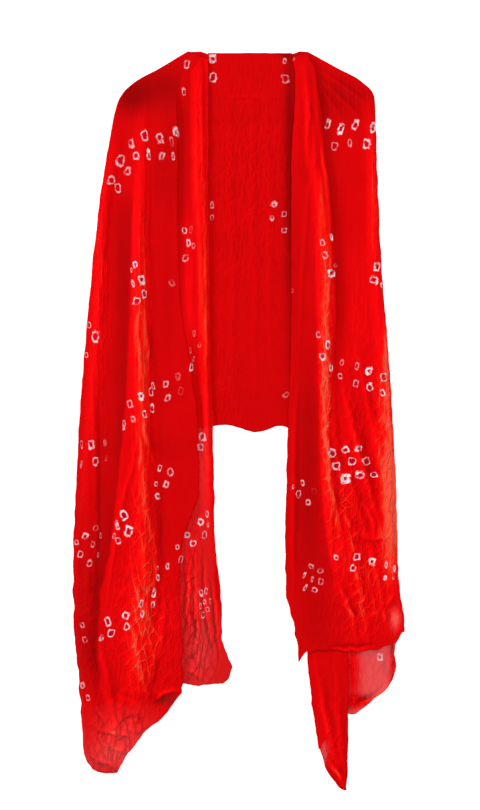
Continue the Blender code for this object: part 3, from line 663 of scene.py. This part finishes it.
def flap_point(flap, strip, t, v):
    """A point of a flap. Strips 0, 2 and 4 are its layers, 1 and 3 the turns between."""
    here = at_station(flap.table, v)
    last = flap.table[-1]
    overlap = here.fold_x - here.root_x
    lift = ease(OPENED, CLOSED, overlap) * ease(flap.pleat_top, flap.pleat_top + PLEAT_GROWS, v)
    crossed = ease(CROSS_FROM, CROSS_FULL, overlap)
    bend = mix(TURN_OPEN, TURN_CROSSED, crossed)
    slack = SLACK * abs(overlap) * (1 - crossed)
    inward = 1 if flap.side_fold == "end" else -1
    tuck = SIDE_ROUND * side_share(flap, v) * inward
    start_x = here.start_x + (tuck if flap.side_fold == "start" else 0)
    end_x = here.end_x + (tuck if flap.side_fold == "end" else 0)
    ends = ((start_x, here.root_x + slack), None, (here.root_x - slack, here.fold_x + slack), None,
            (here.fold_x - slack, end_x))
    lasts = ((last.start_x, last.root_x), None, (last.root_x, last.fold_x), None,
             (last.fold_x, last.end_x))
    if strip in (0, 2, 4):
        x = mix(*ends[strip], t)
        level = (0, None, mix(bend, 2 - bend, t), None, 2)[strip]
        hem = along(flap.hems[strip // 2], t) if v > FOOT - FLAP_BENDS else (0, 0)
        last_x = mix(*lasts[strip], t)
    else:
        turn = math.pi * t
        middle = here.root_x if strip == 1 else here.fold_x
        side = -1 if strip == 1 else 1
        x = middle + side * FOLD_ROUND * crossed * math.sin(turn) + slack * (1 - 2 * t)
        rise = bend * (1 - math.cos(turn)) / 2
        level = rise if strip == 1 else 2 - bend + rise
        hem = flap.hems[strip // 2][-1]
        last_x = last.root_x if strip == 1 else last.fold_x
    share = (x - here.start_x) / (here.end_x - here.start_x)
    y = mix(here.start_y, here.end_y, share)
    last_share = (last_x - last.start_x) / (last.end_x - last.start_x)
    last_y = mix(last.start_y, last.end_y, last_share)
    pull = ease(FOOT - FLAP_BENDS, FOOT, v)
    x += pull * (hem[0] - last_x)
    y += pull * (hem[1] - last_y)
    z = flap_rest(flap, x, y) + STEP * lift * level
    grown = ease(RIDGES_FROM, RIDGES_FULL, v)
    ridge = 0.0
    if strip == 4:
        hang_from = here.root_x - FOLD_ROUND - HANG_CLEAR * crossed
        span = max(HANG_LEAST, hang_from - here.end_x)
        hang = ease(0, min(span, HANG_MOST), hang_from - x)
        over = flap_rest(flap, x, y) + END_LIFT * lift
        low = mix(flap.end_below, over, ease(DROP_LOW, DROP_HIGH, y))
        ridge = grown * ridge_height(flap.ridges_end, x, y)
        z = mix(z, low, hang * lift) + ridge
    if strip == 0:
        ridge = grown * ridge_height(flap.ridges_start, x, y)
        z += ridge
    return Point(x, y, z, LAYERS[flap.layers[(strip + 1) // 2]].number, ridge / TALLEST_RIDGE)


def back_line(v):
    """Corners of one row of the back panel, left to right."""
    left, right = at_station(LEFT, v), at_station(RIGHT, v)
    under = at_station(UNDER, v, HEM)
    split = mix(right.end_x + SPLIT_INSIDE, UNDER[0].fold_x, v / HEM) if v <= HEM else under.fold_x
    share = (split - right.end_x) / (right.start_x - right.end_x)
    split_y = mix(right.end_y, right.start_y, share) if v <= HEM else under.fold_y
    left_x = left.end_x + SIDE_ROUND * side_share(LEFT_FLAP, v)
    return (
        (left_x, mix(left.end_y, left.start_y, (left_x - left.end_x) / (left.start_x - left.end_x))),
        (left.start_x, left.start_y), (right.end_x, right.end_y), (split, split_y),
        (right.start_x - SIDE_ROUND, right.start_y),
    )


def back_point(strip, t, v):
    key = ("back", v)
    if key not in kept:
        kept[key] = back_line(v)
    corners = kept[key]
    x = mix(corners[strip][0], corners[strip + 1][0], t)
    y = mix(corners[strip][1], corners[strip + 1][1], t)
    if strip == 1 and v > HEM - BACK_BENDS:
        hem_y = blend([p[0] for p in BACK_HEM], [p[1] for p in BACK_HEM], x)
        y += ease(HEM - BACK_BENDS, HEM, v) * (hem_y - mix(BACK_HEM[0][1], BACK_HEM[-1][1], t))
    if strip == 3 and v > HEM:
        last = back_line(FOOT)
        hem = along(UNDER_HEM, t)
        pull = ease(FOOT - UNDER_BENDS, FOOT, v)
        x += pull * (hem[0] - mix(last[3][0], last[4][0], t))
        y += pull * (hem[1] - mix(last[3][1], last[4][1], t))
    layer = "right under" if v > HEM else "back"
    return Point(x, y, back_height(x, y), LAYERS[layer].number, 0.0)


def side_point(flap, t, v):
    """The fold at the side, where the back panel turns over to become the flap."""
    strip, end = (4, 1.0) if flap.side_fold == "end" else (0, 0.0)
    top = flap_point(flap, strip, end, v)
    foot = back_point(0, 0.0, v) if flap.side_fold == "end" else back_point(3, 1.0, v)
    side = -1 if flap.side_fold == "end" else 1
    turn = math.pi * t
    share = (1 - math.cos(turn)) / 2
    x = mix(top.x, foot.x, share) + side * SIDE_ROUND * side_share(flap, v) * math.sin(turn)
    layer = "left side" if flap.side_fold == "end" else "right side"
    y, z = mix(top.y, foot.y, share), mix(top.z, foot.z, share)
    return Point(x, y, z, LAYERS[layer].number, top.ridge)


def strip_point(t, v):
    """The strip turned over the under layer. Up to 0 it is still in its turn, 1 is its free edge."""
    here = at_station(UNDER, v, HEM)
    last = UNDER[-1]
    if t <= 0:
        turn = math.pi * (t + 1)
        x = here.fold_x - FOLD_ROUND * math.sin(turn)
        z = TABLE + OVER_BACK * (1 - math.cos(turn)) / 2
        return Point(x, here.fold_y, z, LAYERS["strip"].number, 0.0)
    x = mix(here.fold_x, here.free_x, t)
    y = mix(here.fold_y, here.free_y, t)
    hem = along(STRIP_HEM, t)
    pull = ease(FOOT - STRIP_BENDS, FOOT, v)
    x += pull * (hem[0] - mix(last.fold_x, last.free_x, t))
    y += pull * (hem[1] - mix(last.fold_y, last.free_y, t))
    return Point(x, y, TABLE + OVER_BACK, LAYERS["strip"].number, STRIP_RIDGE)


def neck_point(t, column_t):
    """The turned neck edge. Up to 0 it is still in its turn, 1 is its free edge."""
    top = back_point(1, column_t, NECK)
    if t <= 0:
        turn = math.pi * (t + 1)
        z = mix(top.z, TABLE, (1 - math.cos(turn)) / 2)
        return Point(top.x, top.y + FOLD_ROUND * math.sin(turn), z, LAYERS["neck"].number, 0.0)
    return Point(top.x, top.y - NECK_DEPTH * t, TABLE, LAYERS["neck"].number, 0.0)


def rows(counts, first):
    places = [float(first)]
    for station, count in enumerate(counts, first):
        places += [station + (i + 1) / count for i in range(count)]
    return places


def cloth_columns():
    """Every column from the left inner edge to the right one, as a function of the row."""
    columns = []
    marks = {}

    def add(count, point, closed):
        for i in range(count + (1 if closed else 0)):
            columns.append(lambda v, t=i / count: point(t, v))

    for strip, count in enumerate(LEFT_COLUMNS):
        power = CLOSER_AT_EDGE if strip == 0 else 1
        add(count, lambda t, v, s=strip, p=power: flap_point(LEFT_FLAP, s, t ** p, v), strip == 4)
    marks["left end"] = len(columns) - 1
    for i in range(1, SIDE_COLUMNS):
        columns.append(lambda v, t=i / SIDE_COLUMNS: side_point(LEFT_FLAP, t, v))
    for strip, count in enumerate(BACK_COLUMNS):
        marks["back", strip] = len(columns)
        add(count, lambda t, v, s=strip: back_point(s, t, v), strip == 3)
    marks["back end"] = len(columns) - 1
    for i in range(1, SIDE_COLUMNS):
        columns.append(lambda v, t=1 - i / SIDE_COLUMNS: side_point(RIGHT_FLAP, t, v))
    for strip, count in enumerate(RIGHT_COLUMNS):
        add(count, lambda t, v, s=strip: flap_point(RIGHT_FLAP, s, t, v), strip == 4)
    return columns, marks


class Net:
    """Corners and faces of the sheet, gathered line by line."""

    def __init__(self):
        self.points = []
        self.faces = []
        self.along = []

    def line(self, points, v):
        first = len(self.points)
        self.points += points
        self.along += [v] * len(points)
        return list(range(first, first + len(points)))

    def join(self, lines):
        for before, after in zip(lines, lines[1:]):
            for i in range(len(before) - 1):
                self.faces.append((before[i], before[i + 1], after[i + 1], after[i]))


def lay_sheet():
    """The whole sheet as one net, in the same folds as the solid."""
    net = Net()
    columns, marks = cloth_columns()
    over_rows = rows(ROWS_OVER_BACK, NECK)
    first_flap_row = ROWS_OVER_BACK[0]
    back_first, back_end = marks["back", 0], marks["back end"] + 1
    back_only = [net.line([column(v) for column in columns[back_first:back_end]], v)
                 for v in over_rows[:first_flap_row]]
    over = [net.line([column(v) for column in columns], v) for v in over_rows[first_flap_row:]]
    net.join(over)
    net.join(back_only + [over[0][back_first:back_end]])
    left_end, split = marks["left end"] + 1, marks["back", 3]
    left_lines, right_lines, strip_lines = [over[-1][:left_end]], [over[-1][split:]], []
    for v in rows(ROWS_BELOW, HEM)[1:]:
        left_lines.append(net.line([column(v) for column in columns[:left_end]], v))
        right_lines.append(net.line([column(v) for column in columns[split:]], v))
        if v > STRIP_FROM:
            shares = [(i + 1) / STRIP_TURN - 1 for i in range(STRIP_TURN)]
            shares += [(i + 1) / STRIP_COLUMNS for i in range(STRIP_COLUMNS)]
            strip = net.line([strip_point(t, v) for t in shares], v)
            strip_lines.append(strip[::-1] + right_lines[-1][:1])
    net.join(left_lines)
    net.join(right_lines)
    net.join(strip_lines)
    neck_first = BACK_COLUMNS[0]
    neck_lines = [back_only[0][neck_first:neck_first + BACK_COLUMNS[1] + 1]]
    shares = [(i + 1) / NECK_TURN - 1 for i in range(NECK_TURN)]
    shares += [(i + 1) / NECK_ROWS for i in range(NECK_ROWS)]
    for t in shares:
        across = [neck_point(t, i / BACK_COLUMNS[1]) for i in range(BACK_COLUMNS[1] + 1)]
        neck_lines.append(net.line(across, NECK))
    net.join(neck_lines[::-1])
    return net


def distance_to(line, xy):
    """Distance of every point from a bent line, less than 0 on its left, and the share of
    the line passed there."""
    nearest = np.full(len(xy), 1e9)
    passed = np.zeros(len(xy))
    side = np.ones(len(xy))
    count = len(line) - 1
    for i, (a, b) in enumerate(zip(line, line[1:])):
        a, b = np.array(a, float), np.array(b, float)
        share = np.clip(((xy - a) @ (b - a)) / ((b - a) @ (b - a)), 0, 1)
        away = np.linalg.norm(xy - a - share[:, None] * (b - a), axis=1)
        closer = away < nearest
        nearest[closer] = away[closer]
        passed[closer] = (i + share[closer]) / count
        turned = (b[1] - a[1]) * (xy[:, 0] - a[0]) - (b[0] - a[0]) * (xy[:, 1] - a[1])
        side[closer] = np.sign(turned[closer])
    return nearest * side * (-1 if line[0][1] > line[-1][1] else 1), passed


def crinkle(x, y, kind, stretch):
    """Sharp-edged crinkles of one kind, from 0 between them to 1 on a crest."""
    x, y = (x + kind.slant * y) / kind.across, y / kind.down
    seed = kind.seed + stretch
    value = noise.noise(Vector((x, y, seed)))
    fine = noise.noise(Vector((x * 2.1, y * 2.3, seed + 7.0)))
    return max(0.0, 1 - 1.8 * abs(value) - 0.7 * abs(fine))


# how every point of the sheet looks: its painted light and shade, crumpling, share of
# crumpling that is a web, and how much light the cloth stops there
Look = namedtuple("Look", "lit crumple web stops")


def points_on(name, layer):
    """The points of one layer, or of all the layers of a flap."""
    numbers = [LAYERS[one].number for one in FLAP_LAYERS.get(name, (name,))]
    return np.flatnonzero(np.isin(layer, numbers))


def spots(name, layer, places, x, y, reach_x, reach_y):
    """The points of a layer and how near each lies to a soft place, from 0 to 1."""
    on = points_on(name, layer)
    away = ((places[on, 0] - x) / reach_x) ** 2 + ((places[on, 1] - y) / reach_y) ** 2
    return on, np.exp(-away)


def crinkle_sheet(net):
    """Lift creases and crinkles out of the smooth sheet. Gives places, layers, stretches
    and the look."""
    places = np.array([(p.x, p.y, p.z) for p in net.points])
    layer = np.array([p.layer for p in net.points])
    ridge = np.array([p.ridge for p in net.points])
    by_number = sorted(LAYERS.values(), key=lambda one: one.number)
    # each layer's painted light and shade, painted lighter up the ridges
    lit = np.array([one.lit for one in by_number])[layer] + RIDGE_PAINTED_LIGHT * ridge
    stops = np.array([one.stops for one in by_number])[layer]
    depth = np.array([one.crinkle for one in by_number])[layer]
    stretch = np.array([one.stretch for one in by_number])[layer]
    crumple = CRUMPLE_AT_REST + RIDGE_CRUMPLE * ridge
    web_from = np.where(stretch == 2, WEB_FROM_RIGHT, WEB_FROM)
    web = np.clip((web_from - places[:, 1]) / WEB_REACH, WEB_AT_REST, 1)
    web[layer == LAYERS["back"].number] = WEB_ON_BACK
    for crease in CREASES:
        on = points_on(crease.layer, layer)
        away, passed = distance_to(crease.line, places[on, :2])
        wide = crease.width * (CREASE_NARROW + CREASE_SWELL * np.sin(passed * math.pi))
        height = np.exp(-(away / wide) ** 2) * np.sin(np.clip(passed, 0.02, 0.98) * math.pi) ** 0.5
        beside = (away - HOLLOW_ASIDE * wide) / wide
        hollow = np.exp(-beside ** 2) * np.sin(passed * math.pi)
        places[on, 2] += crease.height * height
        # painted highlight on the crease and painted shade in the hollow beside it
        lit[on] += crease.lit * (height - PAINTED_HOLLOW * hollow)
    for edge in FOLD_EDGES:
        on = points_on(edge.layer, layer)
        down = np.array(edge.line, float)[::-1]
        beside = places[on, 0] - np.interp(places[on, 1], down[:, 1], down[:, 0])
        inside = np.clip((places[on, 1] - down[0, 1]) / EDGE_FADE + 0.5, 0, 1)
        inside *= np.clip((down[-1, 1] - places[on, 1]) / EDGE_FADE + 0.5, 0, 1)
        to_right = 0.5 + 0.5 * np.tanh(beside / EDGE_BLUNT)
        left = (1 - to_right) * np.exp(-np.abs(beside) / edge.left_reach)
        right = to_right * np.exp(-np.abs(beside) / edge.right_reach)
        lit[on] += inside * (edge.left_lit * left + edge.right_lit * right)
        places[on, 2] += inside * edge.drop / 2 * (left - right)
    for patch in PATCHES:
        on, near = spots(patch.layer, layer, places, patch.x, patch.y, patch.reach_x, patch.reach_y)
        lit[on] += patch.lit * near
        crumple[on] += patch.crumple * near
        stops[on] -= patch.thin * near
    crumple = np.clip(crumple, 0, 1)
    for i, point in enumerate(net.points):
        if not depth[i]:
            continue
        long_folds, net_folds = (crinkle(point.x, point.y, kind, stretch[i])
                                 for kind in (LONG_CRINKLES, NET_CRINKLES))
        value = mix(long_folds, net_folds, NET_AT_REST + NET_IN_WEB * web[i])
        places[i, 2] += depth[i] * (CRINKLE_LEAST + CRINKLE_MORE * crumple[i]) * value
        lit[i] += CRINKLE_PAINTED_LIGHT * crumple[i] * (value - CRINKLE_MIDDLE)
    places[:, 2] = np.maximum(places[:, 2], LOWEST)
    wander(places)
    return places, layer, stretch, Look(lit, crumple, web, np.clip(stops, 0, 1))


def wander(places):
    """Shift the whole lie of the cloth a little, so that edges and hems aren't ruled."""
    for place in places:
        x, y = place[0], place[1]
        far = mix(WANDER_AT_HEM, WANDER, ease(WANDER_LOW, WANDER_HIGH, y))
        far *= 1 - SHOULDER_STILL * ease(SHOULDER_LOW, SHOULDER_HIGH, y)
        for axis, sways in enumerate((SIDEWAYS, LENGTHWAYS)):
            for sway in sways:
                swayed = noise.noise(Vector((x / sway.across, y / sway.along, sway.seed)))
                place[axis] += far * sway.share * swayed


def lay_dots(faces, places, layer):
    """For every face corner its place within the nearest dot, in radii of the dot, and
    how pale that dot is."""
    centres = places[faces, :2].mean(1)
    face_layer = layer[faces[:, 0]]
    within = np.full((len(faces), 4, 2), NO_DOT)
    pale = np.zeros((len(faces), 4))
    for layer_names, chart in CHARTS:
        tied = np.array([Dot(*entry) for entry in chart])
        middle = np.stack([(tied[:, 0] - CHART_X) * SQUARE, (CHART_Y - tied[:, 1]) * SQUARE], 1)
        half = tied[:, [3, 2]] * SQUARE / 2
        lean = np.radians(tied[:, 4])
        for name in layer_names:
            on = np.flatnonzero(face_layer == LAYERS[name].number)
            away = np.linalg.norm(centres[on, None] - middle[None], axis=2)
            nearest = away.argmin(1)
            offset = places[faces[on], :2] - middle[nearest, None]
            cos, sin = np.cos(lean[nearest])[:, None], np.sin(lean[nearest])[:, None]
            across = offset[..., 0] * cos - offset[..., 1] * sin
            upward = offset[..., 0] * sin + offset[..., 1] * cos
            within[on] = np.stack([across, upward], 2) / half[nearest, None]
            pale[on] = (tied[nearest, 5:6] / PALEST) ** 2
    return within, pale


def edge_share(net, places):
    """1 at the corners on a free edge of the sheet, 0 at all others."""
    sides = {}
    for face in net.faces:
        for a, b in zip(face, face[1:] + face[:1]):
            key = (min(a, b), max(a, b))
            sides[key] = sides.get(key, 0) + 1
    edge = sorted({corner for key, count in sides.items() if count == 1 for corner in key})
    share = np.zeros(len(places))
    share[edge] = 1.0
    return share


def colour(hexa):
    """A picture's colour as the linear values that Blender takes."""
    values = [int(hexa[i:i + 2], 16) / 255 for i in (0, 2, 4)]
    return [v / 12.92 if v <= 0.04045 else ((v + 0.055) / 1.055) ** 2.4 for v in values] + [1.0]


def add_node(tree, kind, inputs, output=0, **settings):
    """Add a shader node. An input given another node's output is linked, any other is set."""
    node = tree.nodes.new("ShaderNode" + kind)
    for name, value in settings.items():
        setattr(node, name, value)
    for name, value in inputs.items():
        if isinstance(value, bpy.types.NodeSocket):
            tree.links.new(value, node.inputs[name])
        else:
            node.inputs[name].default_value = value
    return node.outputs[output]


def dyed_cloth():
    """Tie-dyed crinkled voile: thin, matt and saturated red, with pale rings where it was
    tied off, and fine creases in relief that catch the light, with painted highlights on their crests."""
    material = bpy.data.materials.new("Tie-dyed crinkled voile")
    material.use_nodes = True
    tree = material.node_tree
    surface = tree.nodes["Principled BSDF"]
    lit = add_node(tree, "Attribute", {}, 2, attribute_name="lit")
    crumple = add_node(tree, "Attribute", {}, 2, attribute_name="crumple")
    web_share = add_node(tree, "Attribute", {}, 2, attribute_name="web")
    stops = add_node(tree, "Attribute", {}, 2, attribute_name="stops")
    edge = add_node(tree, "Attribute", {}, 2, attribute_name="edge")
    pale = add_node(tree, "Attribute", {}, 2, attribute_name="pale")
    dot = add_node(tree, "UVMap", {}, uv_map="dot")
    flat = add_node(tree, "UVMap", {}, uv_map="flat")

    # Creases lie side by side in wavy ribs that come and go. On close cloth a crest gets a painted
    # highlight; on sheer cloth it is deep red, because it holds more cloth.
    ribs = []
    for family in RIBS:
        way = add_node(tree, "Mapping", {"Vector": flat, "Rotation": (0, 0, family.turn)})
        bends_scale = (family.bends_across, family.bends_along, 1)
        bends_way = add_node(tree, "Mapping", {"Vector": way, "Scale": bends_scale})
        bends = add_node(tree, "TexNoise", {"Vector": bends_way, "Scale": 1.0, "Detail": 4.0,
                                            "Roughness": 0.6})
        across = add_node(tree, "SeparateXYZ", {0: way}, 0)
        phase = add_node(tree, "Math", {0: across, 1: math.tau / (family.apart * MM)},
                         operation="MULTIPLY")
        phase = add_node(tree, "Math", {0: bends, 1: family.bend, 2: phase}, operation="MULTIPLY_ADD")
        swell = add_node(tree, "Math", {0: phase}, operation="SINE")
        sharp = add_node(tree, "Math", {0: swell, 1: 0.5, 2: 0.5}, operation="MULTIPLY_ADD")
        sharp = add_node(tree, "Math", {0: sharp, 1: CREST_SHARPNESS}, operation="POWER")
        comes = add_node(tree, "Mapping", {"Vector": way, "Location": (family.turn, 0.5, 0),
                                           "Scale": (family.comes_across, family.comes_along, 1)})
        comes = add_node(tree, "TexNoise", {"Vector": comes, "Scale": 1.0, "Detail": 1.0})
        comes = add_node(tree, "MapRange", {0: comes, 1: 0.38, 2: 0.56, 3: 0.3, 4: 1.0},
                         interpolation_type="SMOOTHSTEP")
        ribs.append(add_node(tree, "Math", {0: sharp, 1: comes}, operation="MULTIPLY"))
    long_ribs, *crossing = ribs
    web = crossing[0]
    for more in crossing[1:]:
        web = add_node(tree, "Math", {0: web, 1: more}, operation="MAXIMUM")
    crease = add_node(tree, "Mix", {0: web_share, 2: long_ribs, 3: web}, data_type="FLOAT")

    # crepe grain of the voile, 4 mm by 25 mm; the real one is finer and would not show
    grain_way = add_node(tree, "Mapping", {"Vector": flat, "Scale": (260, 40, 1)})
    grain = add_node(tree, "TexNoise", {"Vector": grain_way, "Scale": 1.0, "Detail": 4.0,
                                        "Roughness": 0.65, "Distortion": 0.6})
    cloudy = add_node(tree, "TexNoise", {"Vector": flat, "Scale": 22.0, "Detail": 2.0})

    # how bright the cloth is painted: the painted light and shade of its folds and creases, and its
    # grain
    creased = add_node(tree, "Math", {0: crease, 1: crumple}, operation="MULTIPLY")
    sheer = add_node(tree, "MapRange", {0: stops, 1: 1.0, 2: 0.975, 3: 0.0, 4: 1.0})
    crest_bright = add_node(tree, "MapRange", {0: sheer, 1: 0.0, 2: 1.0, 3: CREST_PAINTED_HIGHLIGHT,
                                               4: CREST_BRIGHT_SHEER})
    shade = add_node(tree, "Math", {0: creased, 1: crest_bright, 2: lit}, operation="MULTIPLY_ADD")
    rough = add_node(tree, "Math", {0: crumple, 1: 0.34, 2: 0.04}, operation="MULTIPLY_ADD")
    speck = add_node(tree, "Math", {0: grain, 1: -0.5}, operation="ADD")
    shade = add_node(tree, "Math", {0: speck, 1: rough, 2: shade}, operation="MULTIPLY_ADD")
    shade = add_node(tree, "Math", {0: cloudy, 1: 0.12, 2: shade}, operation="MULTIPLY_ADD")
    shade = add_node(tree, "Math", {0: shade, 1: -0.09}, operation="ADD")
    shade = add_node(tree, "Math", {0: shade, 1: SHADE_RANGE}, operation="DIVIDE")
    red = add_node(tree, "ValToRGB", {0: shade})
    steps = red.node.color_ramp.elements
    for place, hexa in SHADES[1:-1]:
        steps.new(place)
    for step, (place, hexa) in zip(steps, SHADES):
        step.position = place
        step.color = colour(hexa)
    at_hem = add_node(tree, "MapRange", {0: edge, 1: 0.5, 2: 1.0, 3: 0.0, 4: 0.8})
    red = add_node(tree, "Mix", {0: at_hem, 6: red, 7: colour(HEM_RED)}, 2, data_type="RGBA")

    # each dot: a pale ring with blunt corners, uneven and broken in places, round a red
    # middle that is small or filled in some of them
    uneven = add_node(tree, "TexNoise", {"Vector": flat, "Scale": 130.0, "Detail": 2.0})
    round_away = add_node(tree, "VectorMath", {0: dot}, 1, operation="LENGTH")
    size = add_node(tree, "VectorMath", {0: dot}, operation="ABSOLUTE")
    across = add_node(tree, "SeparateXYZ", {0: size}, 0)
    square_away = add_node(tree, "Math", {0: across, 1: across.node.outputs[1]}, operation="MAXIMUM")
    away = add_node(tree, "Mix", {0: 0.55, 2: round_away, 3: square_away}, data_type="FLOAT")
    away = add_node(tree, "Math", {0: uneven, 1: 1.1, 2: away}, operation="MULTIPLY_ADD")
    within = add_node(tree, "MapRange", {0: away, 1: 1.34, 2: 1.54, 3: 1.0, 4: 0.0},
                      interpolation_type="SMOOTHSTEP")
    filled = add_node(tree, "TexNoise", {"Vector": flat, "Scale": 34.0, "Detail": 0.0})
    inner = add_node(tree, "Math", {0: filled, 1: -0.8, 2: away}, operation="MULTIPLY_ADD")
    hollow = add_node(tree, "MapRange", {0: inner, 1: 0.54, 2: 0.78, 3: 0.0, 4: 1.0},
                      interpolation_type="SMOOTHSTEP")
    torn = add_node(tree, "TexNoise", {"Vector": flat, "Scale": 150.0, "Detail": 3.0})
    whole = add_node(tree, "MapRange", {0: torn, 1: 0.38, 2: 0.54, 3: 0.12, 4: 1.0})
    heart = add_node(tree, "Math", {0: within, 1: pale}, operation="MULTIPLY")
    ring = add_node(tree, "Math", {0: heart, 1: hollow}, operation="MULTIPLY")
    ring = add_node(tree, "Math", {0: ring, 1: whole}, operation="MULTIPLY")
    heart = add_node(tree, "Math", {0: heart, 1: 0.6}, operation="MULTIPLY")
    dyed = add_node(tree, "Mix", {0: heart, 6: red, 7: colour(DOT_HEART)}, 2, data_type="RGBA")
    dyed = add_node(tree, "Mix", {0: ring, 6: dyed, 7: colour(DOT_PALE)}, 2, data_type="RGBA")
    tree.links.new(dyed, surface.inputs["Base Color"])

    # the weave lets a little light through; the hollows of creases and the hems are closer
    hidden = add_node(tree, "Math", {0: creased, 1: sheer}, operation="MULTIPLY")
    closer = add_node(tree, "Math", {0: edge, 1: 0.03, 2: stops}, operation="MULTIPLY_ADD")
    closer = add_node(tree, "Math", {0: hidden, 1: 0.03, 2: closer}, operation="MULTIPLY_ADD",
                      use_clamp=True)
    tree.links.new(closer, surface.inputs["Alpha"])

    fine = add_node(tree, "Math", {0: grain, 1: rough}, operation="MULTIPLY")
    relief = add_node(tree, "Math", {0: creased, 1: CREASE_RELIEF, 2: fine}, operation="MULTIPLY_ADD")
    bump = add_node(tree, "Bump", {"Height": relief, "Strength": 1.0, "Distance": 0.004})
    tree.links.new(bump, surface.inputs["Normal"])
    surface.inputs["Roughness"].default_value = 0.85
    surface.inputs["Specular IOR Level"].default_value = 0.04
    return material


def make_cloth():
    net = lay_sheet()
    places, layer, stretch, look = crinkle_sheet(net)
    low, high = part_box("cloth")
    middle = (places.min(0) + places.max(0)) / 2
    shift = Vector((0.5 * (low.x + high.x) - middle[0] * MM, 0.5 * (low.y + high.y) - middle[1] * MM, 0))
    mesh = bpy.data.meshes.new("stole")
    mesh.from_pydata([Vector(p) * MM + shift for p in places], [], net.faces)
    mesh.polygons.foreach_set("use_smooth", [True] * len(mesh.polygons))
    for name, values in (*look._asdict().items(), ("edge", edge_share(net, places))):
        mesh.attributes.new(name, "FLOAT", "POINT").data.foreach_set("value", values)

    faces = np.array(net.faces)
    flat = mesh.uv_layers.new(name="flat")
    spread = places[:, :2] * MM + stretch[:, None] * STRETCH_APART
    flat.data.foreach_set("uv", spread[faces].astype(np.float32).reshape(-1))
    within, pale = lay_dots(faces, places, layer)
    dot = mesh.uv_layers.new(name="dot")
    dot.data.foreach_set("uv", within.astype(np.float32).reshape(-1))
    mesh.attributes.new("pale", "FLOAT", "CORNER").data.foreach_set("value", pale.reshape(-1))

    mesh.materials.append(dyed_cloth())
    stole = bpy.data.objects.new("stole", mesh)
    bpy.context.scene.collection.objects.link(stole)
    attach(stole, "root")
    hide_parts("cloth")
    return shift


def make_floor():
    """A white table top that the stole lies on."""
    half = 20.0
    mesh = bpy.data.meshes.new("floor")
    corners = [(-half, -half, 0), (half, -half, 0), (half, half, 0), (-half, half, 0)]
    mesh.from_pydata(corners, [], [(0, 1, 2, 3)])
    material = bpy.data.materials.new("White table top")
    material.use_nodes = True
    surface = material.node_tree.nodes["Principled BSDF"]
    surface.inputs["Base Color"].default_value = colour(FLOOR_WHITE)
    surface.inputs["Roughness"].default_value = 1.0
    surface.inputs["Specular IOR Level"].default_value = 0.0
    surface.inputs["Emission Color"].default_value = colour(FLOOR_WHITE)
    surface.inputs["Emission Strength"].default_value = FLOOR_GLOW
    mesh.materials.append(material)
    floor = bpy.data.objects.new("floor", mesh)
    bpy.context.scene.collection.objects.link(floor)


Light = namedtuple("Light", "name place size power")
LIGHTS = (
    Light("Overhead softbox", (0.3, 0.6, 3.4), 2.0, 66),
    Light("Side softbox", (-2.6, 1.2, 1.7), 0.9, 54),
)
CAMERA_HEIGHT = 3.06
CAMERA_UP = 0.024


def light_scene():
    for light in LIGHTS:
        data = bpy.data.lights.new(light.name, "AREA")
        data.size = light.size
        data.energy = light.power
        thing = bpy.data.objects.new(light.name, data)
        thing.location = light.place
        thing.rotation_euler = (-Vector(light.place)).to_track_quat("-Z", "Y").to_euler()
        bpy.context.scene.collection.objects.link(thing)
    world = bpy.data.worlds.new("Studio")
    world.use_nodes = True
    background = world.node_tree.nodes["Background"]
    background.inputs["Color"].default_value = (1, 1, 1, 1)
    background.inputs["Strength"].default_value = 0.40
    bpy.context.scene.world = world
    bpy.context.scene.view_settings.view_transform = "Standard"


def aim_camera(shift):
    """Straight above the middle of the laid shape."""
    data = bpy.data.cameras.new("Camera")
    data.lens = 85
    camera = bpy.data.objects.new("Camera", data)
    camera.location = (shift.x, shift.y + CAMERA_UP, CAMERA_HEIGHT)
    bpy.context.scene.collection.objects.link(camera)
    bpy.context.scene.camera = camera


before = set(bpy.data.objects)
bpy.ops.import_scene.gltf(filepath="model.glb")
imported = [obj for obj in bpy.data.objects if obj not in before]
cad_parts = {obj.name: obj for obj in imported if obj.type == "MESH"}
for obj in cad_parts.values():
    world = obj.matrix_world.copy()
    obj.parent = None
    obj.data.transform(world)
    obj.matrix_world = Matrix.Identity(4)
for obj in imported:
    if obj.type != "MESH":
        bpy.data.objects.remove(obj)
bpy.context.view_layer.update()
shift = make_cloth()
make_floor()
light_scene()
aim_camera(shift)
